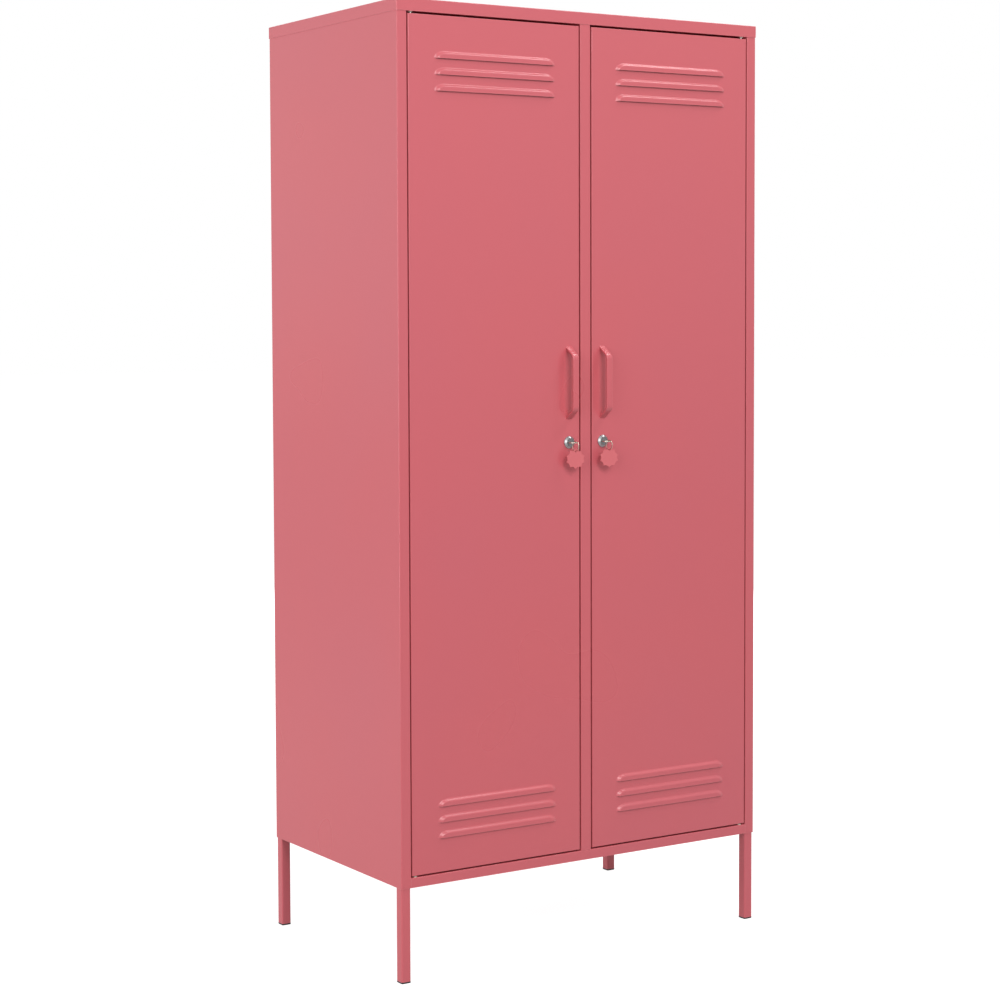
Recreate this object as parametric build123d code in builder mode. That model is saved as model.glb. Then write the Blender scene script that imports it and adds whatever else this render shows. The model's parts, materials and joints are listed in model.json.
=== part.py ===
# Two-door sheet steel locker cabinet on square legs.
# Millimetres. X runs to the right, Y to the back, Z up.
# The origin is on the floor, at the middle of the width and of the depth.

import os
from math import cos, radians

from build123d import *

# Overall size
overall_width = 850.0  # across the top panel
overall_depth = 500.0  # front to back across the top panel
overall_height = 1830.0
leg_height = 180.0  # floor to the lower edge of the body

# Sheet steel
sheet = 0.8
bend_radius = 1.6  # outside radius of a fold
lap_clearance = 0.2  # between a panel and the one it laps or stands beside

# Top panel
cap_flange = 23.0  # turned-down edge
cap_lip_depth = 25.0  # ledge under the front edge, which carries the upper pivots
cap_lip_upturn = 13.0
cap_tab_width = 12.0  # end of the rear edge, folded round onto the side
cap_tab_margin = 3.0  # from the tab to the top face
cap_tab_slit = 0.5

# Front frame
stile_face = 21.5
stile_depth = 32.0
stile_lip = 12.0
rear_flange = 20.0
rail_height = 18.7
post_face = 24.0
post_depth = 23.0
post_flange = 14.0  # stop for the door's free edge
seam_flange = 15.0  # where the back panels meet the partition

# Doors
hinge_gap = 2.5
post_gap = 3.0
top_gap = 4.0
bottom_gap = 3.0
door_depth = 18.0
door_lip = 14.0
stiffener_width = 50.0
stiffener_depth = 14.0
stiffener_flange = 12.0
stiffener_clear = 25.0  # from the louvres to the end of the stiffener

# Louvres
louvre_count = 3
louvre_length = 274.0
louvre_height = 14.0
louvre_proud = 4.2
louvre_pitch = 30.0
louvre_corner = 13.0
louvre_margin = 65.0  # from the door's end to the nearest louvre
louvre_taper = 45.0  # slope of the walls

# Pivots
pivot_from_edge = 9.0
pivot_from_face = 6.0
pin_radius = 2.0
pin_clearance = 0.05
pin_reach = 8.0  # into the frame
pin_head_radius = 4.0
pin_head = 2.0
pivot_plate = 2.5
pivot_plate_length = 26.0
pivot_plate_width = 13.0
bush_wall = 1.2
bush_collar = 1.2
bush_collar_radius = 4.0
bush_length = 5.0
bush_clearance = 0.1

# Handles
handle_inset = 25.0  # from the door's free edge to the handle's middle
handle_length = 141.0
handle_grip = 105.0  # straight part
handle_standoff = 25.0
handle_width = 13.5
handle_thickness = 4.0
handle_bend = 7.0
handle_edge = 1.3
handle_above_lock = 115.0  # lock axis to the handle's middle
boss_radius = 4.0
boss_from_end = 6.5
boss_height = 5.0
handle_screw_radius = 2.0
handle_screw_head_radius = 4.0
handle_screw_head = 2.5
screw_clearance = 0.1

# Locks
barrel_face_radius = 12.0
barrel_face = 5.5
barrel_shoulder = 3.4  # rounded edge of the face
barrel_radius = 9.4
barrel_length = 20.0
lock_nut_radius = 13.0
lock_nut = 5.0
plug_radius = 6.0
plug_proud = 5.0
plug_clearance = 0.05
cam_width = 14.0
cam_thickness = 2.0
cam_tail = 6.0
cam_clearance = 0.4  # behind the post's flange
cam_short_of_post = 3.0
cam_screw_radius = 1.75
cam_screw_head_radius = 4.5
cam_screw_head = 2.4
cam_screw_length = 8.0

# Keys, rings and tags
key_thickness = 2.0
key_blade_width = 5.6
key_blade_length = 18.0
key_neck_width = 8.0
key_neck_length = 2.0
key_bow_width = 18.0
key_bow_length = 15.6
key_bow_corner = 7.0
key_hole_radius = 4.6
key_web = 2.0  # between the hole and the end of the bow
key_edge = 0.4
keyway_clearance = 0.15
ring_radius = 9.2  # to the middle of the wire
wire_radius = 0.8
ring_play = 0.6
ring_turn = -85.0  # direction that the ring's axis faces, from the front towards the right
tag_turn = -22.0  # direction that the tag faces
tag_radius = 18.6
tag_valley_radius = 16.0
tag_points = 10
tag_scallop_radius = 8.0
tag_point_rounding = 0.5
tag_thickness = 2.0
tag_hole_radius = 2.0
tag_hole_from_middle = 14.6
tag_play = 0.5

# Legs and feet
leg_size = 20.0
leg_wall = 1.5
leg_corner = 3.0
leg_plate = 60.0
leg_plate_thickness = 2.5
foot_flange = 3.0
foot_plug = 20.0
foot_corner = 2.5
foot_chamfer = 0.6
foot_clearance = 0.2
bolt_radius = 3.0
bolt_clearance = 0.25
bolt_head_radius = 6.0
bolt_head = 3.5
nut_radius = 5.8
nut_height = 5.0
nut_sides = 6

# Rivets
rivet_radius = 1.6
rivet_head_radius = 3.2
rivet_head = 0.9
rivet_bulb_radius = 2.3
rivet_bulb = 1.6
rivet_count = 7
rivet_margin = 60.0  # from the panel's ends

# Inside
shelf_edge = 20.0
shelf_side_gap = 1.5
shelf_lock_gap = 17.9  # from the screws behind the locks to the front of the shelves
hat_space = 287.0  # between the hat shelf and the lower edge of the top panel
clip_width = 12.0
clip_height = 18.0
clip_ledge = 10.0
clip_thickness = 1.2
clip_from_edge = 50.0
rail_radius = 12.5
rail_wall = 1.5
rail_below_shelf = 60.0
socket_radius = 18.0
socket_depth = 12.0
socket_base = 2.0
bumper_radius = 4.0
bumper_clearance = 0.2
bumper_from_end = 60.0

# Places that follow from the sizes
cap_half_width = overall_width / 2
cap_half_depth = overall_depth / 2
body_half_width = cap_half_width - sheet - lap_clearance
body_half_depth = cap_half_depth - sheet - lap_clearance
front = -body_half_depth
back = body_half_depth
cap_underside = overall_height - sheet
cap_bottom = overall_height - cap_flange
floor_top = leg_height + rail_height
jamb = body_half_width - stile_face
bay_inner = sheet / 2
bay_outer = body_half_width - sheet
pan_half_width = bay_outer - lap_clearance
pan_back = back - 2 * sheet - lap_clearance
rail_half_length = jamb - lap_clearance
back_edge = body_half_width - bend_radius - lap_clearance

door_outer = jamb - hinge_gap
door_inner = post_face / 2 + post_gap
door_width = door_outer - door_inner
door_middle = (door_outer + door_inner) / 2
door_bottom = floor_top + bottom_gap
door_top = cap_bottom - top_gap
door_height = door_top - door_bottom
door_centre = (door_top + door_bottom) / 2
door_back = front + door_depth
door_skin_inside = front + sheet
door_face = Plane.XZ.offset(-front)

pivot_x = door_outer - pivot_from_edge
pivot_y = front + pivot_from_face
bush_radius = pin_radius + pin_clearance + bush_wall

post_flange_front = front + post_depth - sheet
post_flange_back = front + post_depth
post_reach = post_face / 2 + post_flange

lock_x = door_inner + handle_inset
lock_z = door_centre
cam_front = post_flange_back + cam_clearance
cam_back = cam_front + cam_thickness
cam_reach = lock_x - post_face / 2 - cam_short_of_post

handle_z = lock_z + handle_above_lock
handle_run = (handle_length - handle_grip) / 2
boss_reach = handle_length / 2 - boss_from_end
boss_places = [handle_z - boss_reach, handle_z + boss_reach]

leg_x = bay_outer - lap_clearance - leg_size / 2
leg_y = pan_back - leg_size / 2
plate_edge = pan_back - bend_radius - lap_clearance  # inside the fold at the back of the floor
plate_top = floor_top - sheet
plate_bottom = plate_top - leg_plate_thickness
plate_x = leg_x + leg_size / 2 - leg_plate / 2
plate_y = plate_edge - leg_plate / 2
bolt_inner = leg_size + (leg_plate - leg_size) / 2
bolt_x_places = [leg_x, leg_x + leg_size / 2 - bolt_inner]
bolt_y = plate_edge - bolt_inner

louvre_low = door_bottom + louvre_margin
louvre_high = door_top - louvre_margin - louvre_height
louvre_slots = [louvre_low + i * louvre_pitch for i in range(louvre_count)]
louvre_slots += [louvre_high - i * louvre_pitch for i in range(louvre_count)]
louvre_span = (louvre_count - 1) * louvre_pitch + louvre_height
louvre_wall = sheet / cos(radians(louvre_taper))  # a sloping wall, measured straight across

back_rivet_x = body_half_width - rear_flange / 2
rivet_step = (cap_bottom - leg_height - 2 * rivet_margin) / (rivet_count - 1)
rivet_heights = [leg_height + rivet_margin + i * rivet_step for i in range(rivet_count)]
seam_rivet_y = back - sheet - seam_flange / 2
seam_half = sheet / 2 + lap_clearance / 2

shelf_back = back - sheet - seam_flange - shelf_side_gap  # clear of the seam and its rivets
shelf_front = cam_back + cam_screw_head + shelf_lock_gap
shelf_depth = shelf_back - shelf_front
bay_middle = (bay_inner + bay_outer) / 2
shelf_width = bay_outer - bay_inner - 2 * shelf_side_gap
hat_shelf_top = cap_bottom - hat_space
bay_shelves = ["lower_shelf", "middle_shelf", "upper_shelf"]  # share out the height of the right bay
shelf_step = (cap_bottom - floor_top) / (len(bay_shelves) + 1)
clip_y_places = [shelf_front + clip_from_edge, shelf_back - clip_from_edge]
rail_z = hat_shelf_top - shelf_edge - rail_below_shelf
rail_y = (shelf_front + shelf_back) / 2

sides = {"left": -1, "right": 1}
ends = {"front": -1, "rear": 1}

os.makedirs("parts", exist_ok=True)


def save(part, name):
    """Label a finished piece and write it."""
    part.label = name
    export_step(part, f"parts/{name}.step")


def upright_plane(place, turn):
    """Plane that stands upright at a place, and faces the front when its turn is zero."""
    across = Vector(1, 0, 0).rotate(Axis.Z, turn)
    outward = Vector(0, -1, 0).rotate(Axis.Z, turn)
    return Plane(origin=place, x_dir=across, z_dir=outward)


def fold(points, side):
    """Section of a folded sheet whose face follows the points, with its thickness on one side."""
    with BuildSketch() as section:
        with BuildLine():
            FilletPolyline(*points, radius=bend_radius)
            offset(amount=sheet, side=side)
        make_face()
    return section.sketch


def louvre_outline(inset):
    """Outline of a louvre and of its mirror image below the slot, drawn in by an inset."""
    with BuildSketch() as outline:
        RectangleRounded(louvre_length - 2 * inset, 2 * (louvre_height - inset), louvre_corner - inset)
    return outline.sketch


# Top panel: a shallow pan turned upside down, with a ledge under its front edge
with BuildPart() as top_panel:
    with BuildSketch(Plane.XY.offset(cap_bottom)):
        Rectangle(overall_width, overall_depth)
    extrude(amount=cap_flange)
    folded_edges = top_panel.faces().sort_by(Axis.Z)[-1].edges() + top_panel.edges().filter_by(Axis.Z)
    fillet(folded_edges, radius=bend_radius)
    with BuildSketch(Plane.XY.offset(cap_bottom)):
        Rectangle(overall_width - 2 * sheet, overall_depth - 2 * sheet)
    extrude(amount=cap_flange - sheet, mode=Mode.SUBTRACT)
    with BuildSketch(Plane.XY.offset(cap_bottom)):
        with Locations((0, -cap_half_depth + cap_lip_depth / 2)):
            Rectangle(2 * rail_half_length, cap_lip_depth)
        with Locations((-pivot_x, pivot_y), (pivot_x, pivot_y)):
            Circle(bush_radius + bush_clearance, mode=Mode.SUBTRACT)
    extrude(amount=sheet)
    with BuildSketch(Plane.XY.offset(cap_bottom)):
        with Locations((0, -cap_half_depth + cap_lip_depth - sheet / 2)):
            Rectangle(2 * rail_half_length, sheet)
    extrude(amount=cap_lip_upturn)
    with BuildSketch(Plane.YZ):
        tab_front = cap_half_depth - cap_tab_width
        tab_top = overall_height - cap_tab_margin
        with Locations((tab_front, (cap_bottom + tab_top) / 2)):
            Rectangle(cap_tab_slit, tab_top - cap_bottom)
        with Locations((tab_front + cap_tab_width / 2 - bend_radius / 2, tab_top)):
            Rectangle(cap_tab_width - bend_radius + cap_tab_slit, cap_tab_slit)
    extrude(amount=cap_half_width, both=True, mode=Mode.SUBTRACT)
save(top_panel.part, "top_panel")

# Bottom panel: the floor of the cabinet, whose front edge is the rail below the doors
with BuildPart() as bottom_panel:
    with BuildSketch(Plane.YZ):
        section = fold(
            [(pan_back, leg_height), (pan_back, floor_top), (front, floor_top), (front, leg_height)],
            Side.LEFT,
        )
        add(section)
    extrude(amount=rail_half_length, both=True)
    wing_front = front + bend_radius + lap_clearance
    wing_length = pan_back - bend_radius - wing_front
    with BuildSketch(Plane.XY.offset(floor_top - sheet)):
        with Locations((0, wing_front + wing_length / 2)):
            Rectangle(2 * pan_half_width, wing_length)
    extrude(amount=sheet)
    with BuildSketch(Plane.XY.offset(leg_height)):
        flange_x = pan_half_width - sheet / 2
        flange_length = 2 * (plate_edge - leg_plate - lap_clearance)
        with Locations((-flange_x, 0), (flange_x, 0)):
            Rectangle(sheet, flange_length)
    extrude(amount=rail_height)
    with BuildSketch(Plane.XY.offset(floor_top - sheet)):
        for x in bolt_x_places:
            with Locations((-x, -bolt_y), (x, -bolt_y), (-x, bolt_y), (x, bolt_y)):
                Circle(bolt_radius + bolt_clearance)
        with Locations((-pivot_x, pivot_y), (pivot_x, pivot_y)):
            Circle(bush_radius + bush_clearance)
    extrude(amount=sheet, mode=Mode.SUBTRACT)
save(bottom_panel.part, "bottom_panel")

# Side panels: each folds round into the front stile and the jamb, and into a flange at the rear
with BuildPart() as left_side_panel:
    rear_corner = [(-body_half_width, back), (-body_half_width + rear_flange, back)]
    front_corner = [(-jamb, front), (-body_half_width, front)]
    jamb_return = [(-jamb - stile_lip, front + stile_depth), (-jamb, front + stile_depth)]
    with BuildSketch(Plane.XY.offset(floor_top)):
        add(fold(jamb_return + front_corner + rear_corner, Side.RIGHT))
    extrude(amount=cap_underside - floor_top)
    with BuildSketch(Plane.XY.offset(leg_height)):
        add(fold(front_corner + rear_corner, Side.RIGHT))
    extrude(amount=rail_height)
    with BuildSketch(Plane.XZ.offset(-back)):
        with Locations(*[(-back_rivet_x, z) for z in rivet_heights]):
            Circle(rivet_radius + lap_clearance / 2)
    extrude(amount=sheet, mode=Mode.SUBTRACT)
save(left_side_panel.part, "left_side_panel")

with BuildPart() as right_side_panel:
    mirror(left_side_panel.part, about=Plane.YZ)
save(right_side_panel.part, "right_side_panel")

# Back panels: each is folded forward at the middle, where it meets the partition
with BuildPart() as back_panel_left:
    with BuildSketch(Plane.XY.offset(leg_height)):
        section = fold(
            [
                (-back_edge, back - sheet),
                (-seam_half, back - sheet),
                (-seam_half, back - sheet - seam_flange),
            ],
            Side.RIGHT,
        )
        add(section)
    extrude(amount=cap_underside - leg_height)
    with BuildSketch(Plane.XZ.offset(-back + sheet)):
        with Locations(*[(-back_rivet_x, z) for z in rivet_heights]):
            Circle(rivet_radius + lap_clearance / 2)
    extrude(amount=sheet, mode=Mode.SUBTRACT)
    with BuildSketch(Plane.YZ.offset(-seam_half)):
        with Locations(*[(seam_rivet_y, z) for z in rivet_heights]):
            Circle(rivet_radius + lap_clearance / 2)
    extrude(amount=-sheet, mode=Mode.SUBTRACT)
    with BuildSketch(Plane.XY.offset(leg_height)):
        with Locations((-seam_half, back - sheet - seam_flange)):
            Rectangle(2 * seam_flange, 2 * (seam_flange - sheet - lap_clearance))
    extrude(amount=rail_height, mode=Mode.SUBTRACT)
save(back_panel_left.part, "back_panel_left")

with BuildPart() as back_panel_right:
    mirror(back_panel_left.part, about=Plane.YZ)
save(back_panel_right.part, "back_panel_right")

# Centre post: a hat section whose flanges stop the doors
with BuildPart() as centre_post:
    with BuildSketch(Plane.XY.offset(floor_top)):
        half_face = post_face / 2
        section = fold(
            [
                (-post_reach, post_flange_front),
                (-half_face, post_flange_front),
                (-half_face, front),
                (half_face, front),
                (half_face, post_flange_front),
                (post_reach, post_flange_front),
            ],
            Side.LEFT,
        )
        add(section)
    extrude(amount=cap_bottom - floor_top)
save(centre_post.part, "centre_post")

# Partition: one sheet between the bays, folded flat against the inside of the post
with BuildPart() as partition_panel:
    with BuildSketch(Plane.XY.offset(floor_top)):
        section = fold(
            [
                (post_face / 2 - sheet - bend_radius, front + sheet),
                (-sheet / 2, front + sheet),
                (-sheet / 2, back - 2 * sheet - lap_clearance),
            ],
            Side.RIGHT,
        )
        add(section)
    extrude(amount=cap_underside - floor_top)
    with BuildSketch(Plane.XY.offset(cap_bottom)):
        with Locations((0, -cap_half_depth + (cap_lip_depth + lap_clearance) / 2)):
            Rectangle(post_face, cap_lip_depth + lap_clearance)
    extrude(amount=cap_flange, mode=Mode.SUBTRACT)
    with BuildSketch(Plane.YZ):
        with Locations(*[(seam_rivet_y, z) for z in rivet_heights]):
            Circle(rivet_radius + lap_clearance / 2)
    extrude(amount=sheet, both=True, mode=Mode.SUBTRACT)
save(partition_panel.part, "partition_panel")

# Rivets: along both rear edges, and through the seam at the middle of the back
with BuildPart() as panel_rivets:
    rivet_grip = 2 * sheet
    for sign in sides.values():
        edge_points = [(sign * back_rivet_x, z) for z in rivet_heights]
        with BuildSketch(Plane.XZ.offset(-back)):
            with Locations(*edge_points):
                Circle(rivet_head_radius)
        extrude(amount=-rivet_head)
        with BuildSketch(Plane.XZ.offset(-back)):
            with Locations(*edge_points):
                Circle(rivet_radius)
        extrude(amount=rivet_grip)
        with BuildSketch(Plane.XZ.offset(-back + rivet_grip)):
            with Locations(*edge_points):
                Circle(rivet_bulb_radius)
        extrude(amount=rivet_bulb)
    seam_grip = seam_half + sheet
    seam_points = [(seam_rivet_y, z) for z in rivet_heights]
    with BuildSketch(Plane.YZ):
        with Locations(*seam_points):
            Circle(rivet_radius)
    extrude(amount=seam_grip, both=True)
    with BuildSketch(Plane.YZ.offset(seam_grip)):
        with Locations(*seam_points):
            Circle(rivet_head_radius)
    extrude(amount=rivet_head)
    with BuildSketch(Plane.YZ.offset(-seam_grip)):
        with Locations(*seam_points):
            Circle(rivet_bulb_radius)
    extrude(amount=-rivet_bulb)
save(panel_rivets.part, "panel_rivets")

# Legs and feet: square tube with a bolted plate at the top and a plastic plug at the bottom
for end, end_sign in ends.items():
    for side, side_sign in sides.items():
        centre = (side_sign * leg_x, end_sign * leg_y)
        with BuildPart() as leg:
            with BuildSketch(Plane.XY.offset(foot_flange)):
                with Locations(centre):
                    RectangleRounded(leg_size, leg_size, leg_corner)
                    inner = leg_size - 2 * leg_wall
                    RectangleRounded(inner, inner, leg_corner - leg_wall, mode=Mode.SUBTRACT)
            extrude(amount=plate_bottom - foot_flange)
            with BuildSketch(Plane.XY.offset(plate_bottom)):
                with Locations((side_sign * plate_x, end_sign * plate_y)):
                    Rectangle(leg_plate, leg_plate)
                with Locations(*[(side_sign * x, end_sign * bolt_y) for x in bolt_x_places]):
                    Circle(bolt_radius + bolt_clearance, mode=Mode.SUBTRACT)
                with Locations((side_sign * pivot_x, -end_sign * pivot_y)):
                    Circle(bush_collar_radius + lap_clearance, mode=Mode.SUBTRACT)
            extrude(amount=leg_plate_thickness)
        save(leg.part, f"{end}_{side}_leg")

        with BuildPart() as foot:
            with BuildSketch():
                with Locations(centre):
                    RectangleRounded(leg_size, leg_size, foot_corner)
            extrude(amount=foot_flange)
            chamfer(foot.faces().sort_by(Axis.Z)[0].edges(), length=foot_chamfer)
            with BuildSketch(Plane.XY.offset(foot_flange)):
                with Locations(centre):
                    plug = leg_size - 2 * leg_wall - 2 * foot_clearance
                    RectangleRounded(plug, plug, leg_corner - leg_wall - foot_clearance)
            extrude(amount=foot_plug)
        save(foot.part, f"{end}_{side}_foot")

# Leg bolts and nuts: two to each leg, heads on the cabinet floor
bolt_points = [
    (side_sign * x, end_sign * bolt_y)
    for end_sign in ends.values()
    for side_sign in sides.values()
    for x in bolt_x_places
]
with BuildPart() as leg_bolts:
    with BuildSketch(Plane.XY.offset(floor_top)):
        with Locations(*bolt_points):
            Circle(bolt_head_radius)
    extrude(amount=bolt_head)
    fillet(leg_bolts.faces().group_by(Axis.Z)[-1].edges(), radius=bolt_head / 2)
    with BuildSketch(Plane.XY.offset(plate_bottom - nut_height)):
        with Locations(*bolt_points):
            Circle(bolt_radius)
    extrude(amount=floor_top - plate_bottom + nut_height)
save(leg_bolts.part, "leg_bolts")

with BuildPart() as leg_nuts:
    with BuildSketch(Plane.XY.offset(plate_bottom)):
        with Locations(*bolt_points):
            RegularPolygon(nut_radius, nut_sides)
            Circle(bolt_radius + screw_clearance, mode=Mode.SUBTRACT)
    extrude(amount=-nut_height)
save(leg_nuts.part, "leg_nuts")

# Pivot bushes: pale plastic, one above and one below the hinge edge of each door
with BuildPart() as pivot_bushes:
    pivot_points = [(-pivot_x, pivot_y), (pivot_x, pivot_y)]
    for seat, outward in ((cap_bottom, 1), (floor_top, -1)):
        with BuildSketch(Plane.XY.offset(seat)):
            with Locations(*pivot_points):
                Circle(bush_collar_radius)
                Circle(pin_radius + pin_clearance, mode=Mode.SUBTRACT)
        extrude(amount=-outward * bush_collar)
        with BuildSketch(Plane.XY.offset(seat)):
            with Locations(*pivot_points):
                Circle(bush_radius)
                Circle(pin_radius + pin_clearance, mode=Mode.SUBTRACT)
        extrude(amount=outward * bush_length)
save(pivot_bushes.part, "pivot_bushes")

# Bumpers: soft pads on the post's flanges, which the doors close against
with BuildPart() as door_bumpers:
    bumper_x = post_reach - bumper_radius - bend_radius
    with BuildSketch(Plane.XZ.offset(-post_flange_front)):
        for z in (door_bottom + bumper_from_end, door_top - bumper_from_end):
            with Locations((-bumper_x, z), (bumper_x, z)):
                Circle(bumper_radius)
    extrude(amount=post_flange_front - door_back - bumper_clearance)
save(door_bumpers.part, "door_bumpers")

# One louvre hood: a pressed blister with sloping walls, open along its lower edge
with BuildPart() as louvre_hood:
    with BuildSketch(Plane.XZ):
        add(louvre_outline(0))
    extrude(amount=louvre_proud, taper=louvre_taper)
    with BuildSketch(Plane.XZ):
        add(louvre_outline(louvre_wall))
    extrude(amount=louvre_proud - sheet, taper=louvre_taper, mode=Mode.SUBTRACT)
    split(bisect_by=Plane.XY, keep=Keep.TOP)

with BuildSketch() as louvre_slot:
    add(louvre_outline(louvre_wall))
    with Locations((0, -louvre_height / 2)):
        Rectangle(louvre_length, louvre_height, mode=Mode.SUBTRACT)

# Door skins: a folded pan with louvres, and holes for the pivots, the lock and the handle
with BuildPart() as left_door_skin:
    with BuildSketch(door_face):
        with Locations((-door_middle, door_centre)):
            Rectangle(door_width, door_height)
    extrude(amount=-door_depth)
    fillet(left_door_skin.faces().sort_by(Axis.Y)[0].edges(), radius=bend_radius)
    with BuildSketch(Plane.XZ.offset(-door_skin_inside)):
        with Locations((-door_middle, door_centre)):
            Rectangle(door_width - 2 * sheet, door_height - 2 * sheet)
    extrude(amount=-(door_depth - 2 * sheet), mode=Mode.SUBTRACT)
    with BuildSketch(Plane.XZ.offset(-door_back)):
        with Locations((-door_middle, door_centre)):
            Rectangle(door_width - 2 * door_lip, door_height - 2 * door_lip)
    extrude(amount=sheet, mode=Mode.SUBTRACT)
    with BuildSketch(door_face):
        with Locations(*[(-door_middle, z) for z in louvre_slots]):
            add(louvre_slot.sketch)
        with Locations((-lock_x, lock_z)):
            Circle(barrel_radius + screw_clearance)
        with Locations(*[(-lock_x, z) for z in boss_places]):
            Circle(handle_screw_radius + screw_clearance)
    extrude(amount=-sheet, mode=Mode.SUBTRACT)
    with BuildSketch(Plane.XY.offset(door_bottom)):
        with Locations((-pivot_x, pivot_y)):
            Circle(pin_radius + screw_clearance)
    extrude(amount=door_height, mode=Mode.SUBTRACT)
    with Locations(*[(-door_middle, front, z) for z in louvre_slots]):
        add(louvre_hood.part)
save(left_door_skin.part, "left_door_skin")

with BuildPart() as right_door_skin:
    mirror(left_door_skin.part, about=Plane.YZ)
save(right_door_skin.part, "right_door_skin")

# Door fittings, the same for both sides
for side, sign in sides.items():
    door_x = sign * door_middle
    fitting_x = sign * lock_x

    # Stiffener: a hat channel welded inside the door, between its louvres
    stiffener_half = stiffener_width / 2
    stiffener_back = door_skin_inside + stiffener_depth
    stiffener_foot = louvre_low + louvre_span + stiffener_clear
    stiffener_head = louvre_high + louvre_height - louvre_span - stiffener_clear
    with BuildPart() as door_stiffener:
        with BuildSketch(Plane.XY.offset(stiffener_foot)):
            section = fold(
                [
                    (door_x - stiffener_half - stiffener_flange, door_skin_inside),
                    (door_x - stiffener_half, door_skin_inside),
                    (door_x - stiffener_half, stiffener_back),
                    (door_x + stiffener_half, stiffener_back),
                    (door_x + stiffener_half, door_skin_inside),
                    (door_x + stiffener_half + stiffener_flange, door_skin_inside),
                ],
                Side.LEFT,
            )
            add(section)
        extrude(amount=stiffener_head - stiffener_foot)
    save(door_stiffener.part, f"{side}_door_stiffener")

    # Pivot plates: welded under the folded ends of the door, and holding the pins
    plate_middle_x = sign * (door_outer - sheet - pivot_plate_length / 2)
    plate_middle_y = door_skin_inside + pivot_plate_width / 2
    with BuildPart() as pivot_plates:
        for low in (door_bottom + sheet, door_top - sheet - pivot_plate):
            with BuildSketch(Plane.XY.offset(low)):
                with Locations((plate_middle_x, plate_middle_y)):
                    Rectangle(pivot_plate_length, pivot_plate_width)
                with Locations((sign * pivot_x, pivot_y)):
                    Circle(pin_radius + pin_clearance, mode=Mode.SUBTRACT)
            extrude(amount=pivot_plate)
    save(pivot_plates.part, f"{side}_door_pivot_plates")

    # Pivot pins: headed pins, up through the top of the door and down through its bottom
    with BuildPart() as pivot_pins:
        for edge, outward, seat in ((door_bottom, -1, floor_top), (door_top, 1, cap_bottom)):
            pin_seat = edge - outward * (sheet + pivot_plate)
            with BuildSketch(Plane.XY.offset(pin_seat)):
                with Locations((sign * pivot_x, pivot_y)):
                    Circle(pin_radius)
            extrude(amount=seat + outward * pin_reach - pin_seat)
            with BuildSketch(Plane.XY.offset(pin_seat)):
                with Locations((sign * pivot_x, pivot_y)):
                    Circle(pin_head_radius)
            extrude(amount=-outward * pin_head)
    save(pivot_pins.part, f"{side}_door_pivot_pins")

    # Handle: a flat bar bent into a bow, with a tapped boss behind each end
    with BuildPart() as handle:
        with BuildSketch(Plane.YZ.offset(fitting_x - handle_width / 2)):
            with BuildLine():
                FilletPolyline(
                    (front + handle_standoff, handle_z + handle_length / 2 + handle_run),
                    (front - handle_standoff, handle_z + handle_length / 2 - handle_run),
                    (front - handle_standoff, handle_z - handle_length / 2 + handle_run),
                    (front + handle_standoff, handle_z - handle_length / 2 - handle_run),
                    radius=handle_bend,
                )
                offset(amount=handle_thickness, side=Side.LEFT)
            make_face()
        extrude(amount=handle_width)
        with BuildSketch(door_face):
            with Locations((fitting_x, handle_z)):
                Rectangle(2 * handle_width, 2 * handle_length)
        extrude(amount=-2 * handle_standoff, mode=Mode.SUBTRACT)
        side_edges = handle.faces().filter_by(Axis.X).edges()
        door_edges = side_edges.group_by(Axis.Y)[-1]
        fillet([edge for edge in side_edges if edge not in door_edges], radius=handle_edge)
        with BuildSketch(door_face):
            with Locations(*[(fitting_x, z) for z in boss_places]):
                Circle(boss_radius)
        extrude(amount=boss_height)
        with BuildSketch(door_face):
            with Locations(*[(fitting_x, z) for z in boss_places]):
                Circle(handle_screw_radius + screw_clearance / 2)
        extrude(amount=boss_height, mode=Mode.SUBTRACT)
    save(handle.part, f"{side}_handle")

    # Handle screws: from inside the door into the bosses
    with BuildPart() as handle_screws:
        with BuildSketch(Plane.XZ.offset(-door_skin_inside)):
            with Locations(*[(fitting_x, z) for z in boss_places]):
                Circle(handle_screw_head_radius)
        extrude(amount=-handle_screw_head)
        with BuildSketch(Plane.XZ.offset(-door_skin_inside)):
            with Locations(*[(fitting_x, z) for z in boss_places]):
                Circle(handle_screw_radius)
        extrude(amount=sheet + boss_height - screw_clearance)
    save(handle_screws.part, f"{side}_handle_screws")

    # Lock barrel: a round face on the door, and a threaded body through it
    with BuildPart() as lock_barrel:
        with BuildSketch(door_face):
            with Locations((fitting_x, lock_z)):
                Circle(barrel_face_radius)
        extrude(amount=barrel_face)
        fillet(lock_barrel.faces().sort_by(Axis.Y)[0].edges(), radius=barrel_shoulder)
        with BuildSketch(door_face):
            with Locations((fitting_x, lock_z)):
                Circle(barrel_radius)
        extrude(amount=-barrel_length)
        with BuildSketch(Plane.XZ.offset(-front + barrel_face)):
            with Locations((fitting_x, lock_z)):
                Circle(plug_radius + plug_clearance)
        extrude(amount=-barrel_face - barrel_length, mode=Mode.SUBTRACT)
    save(lock_barrel.part, f"{side}_lock_barrel")

    with BuildPart() as lock_ring_nut:
        with BuildSketch(Plane.XZ.offset(-door_skin_inside)):
            with Locations((fitting_x, lock_z)):
                RegularPolygon(lock_nut_radius, nut_sides)
                Circle(barrel_radius + screw_clearance, mode=Mode.SUBTRACT)
        extrude(amount=-lock_nut)
    save(lock_ring_nut.part, f"{side}_lock_nut")

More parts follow.
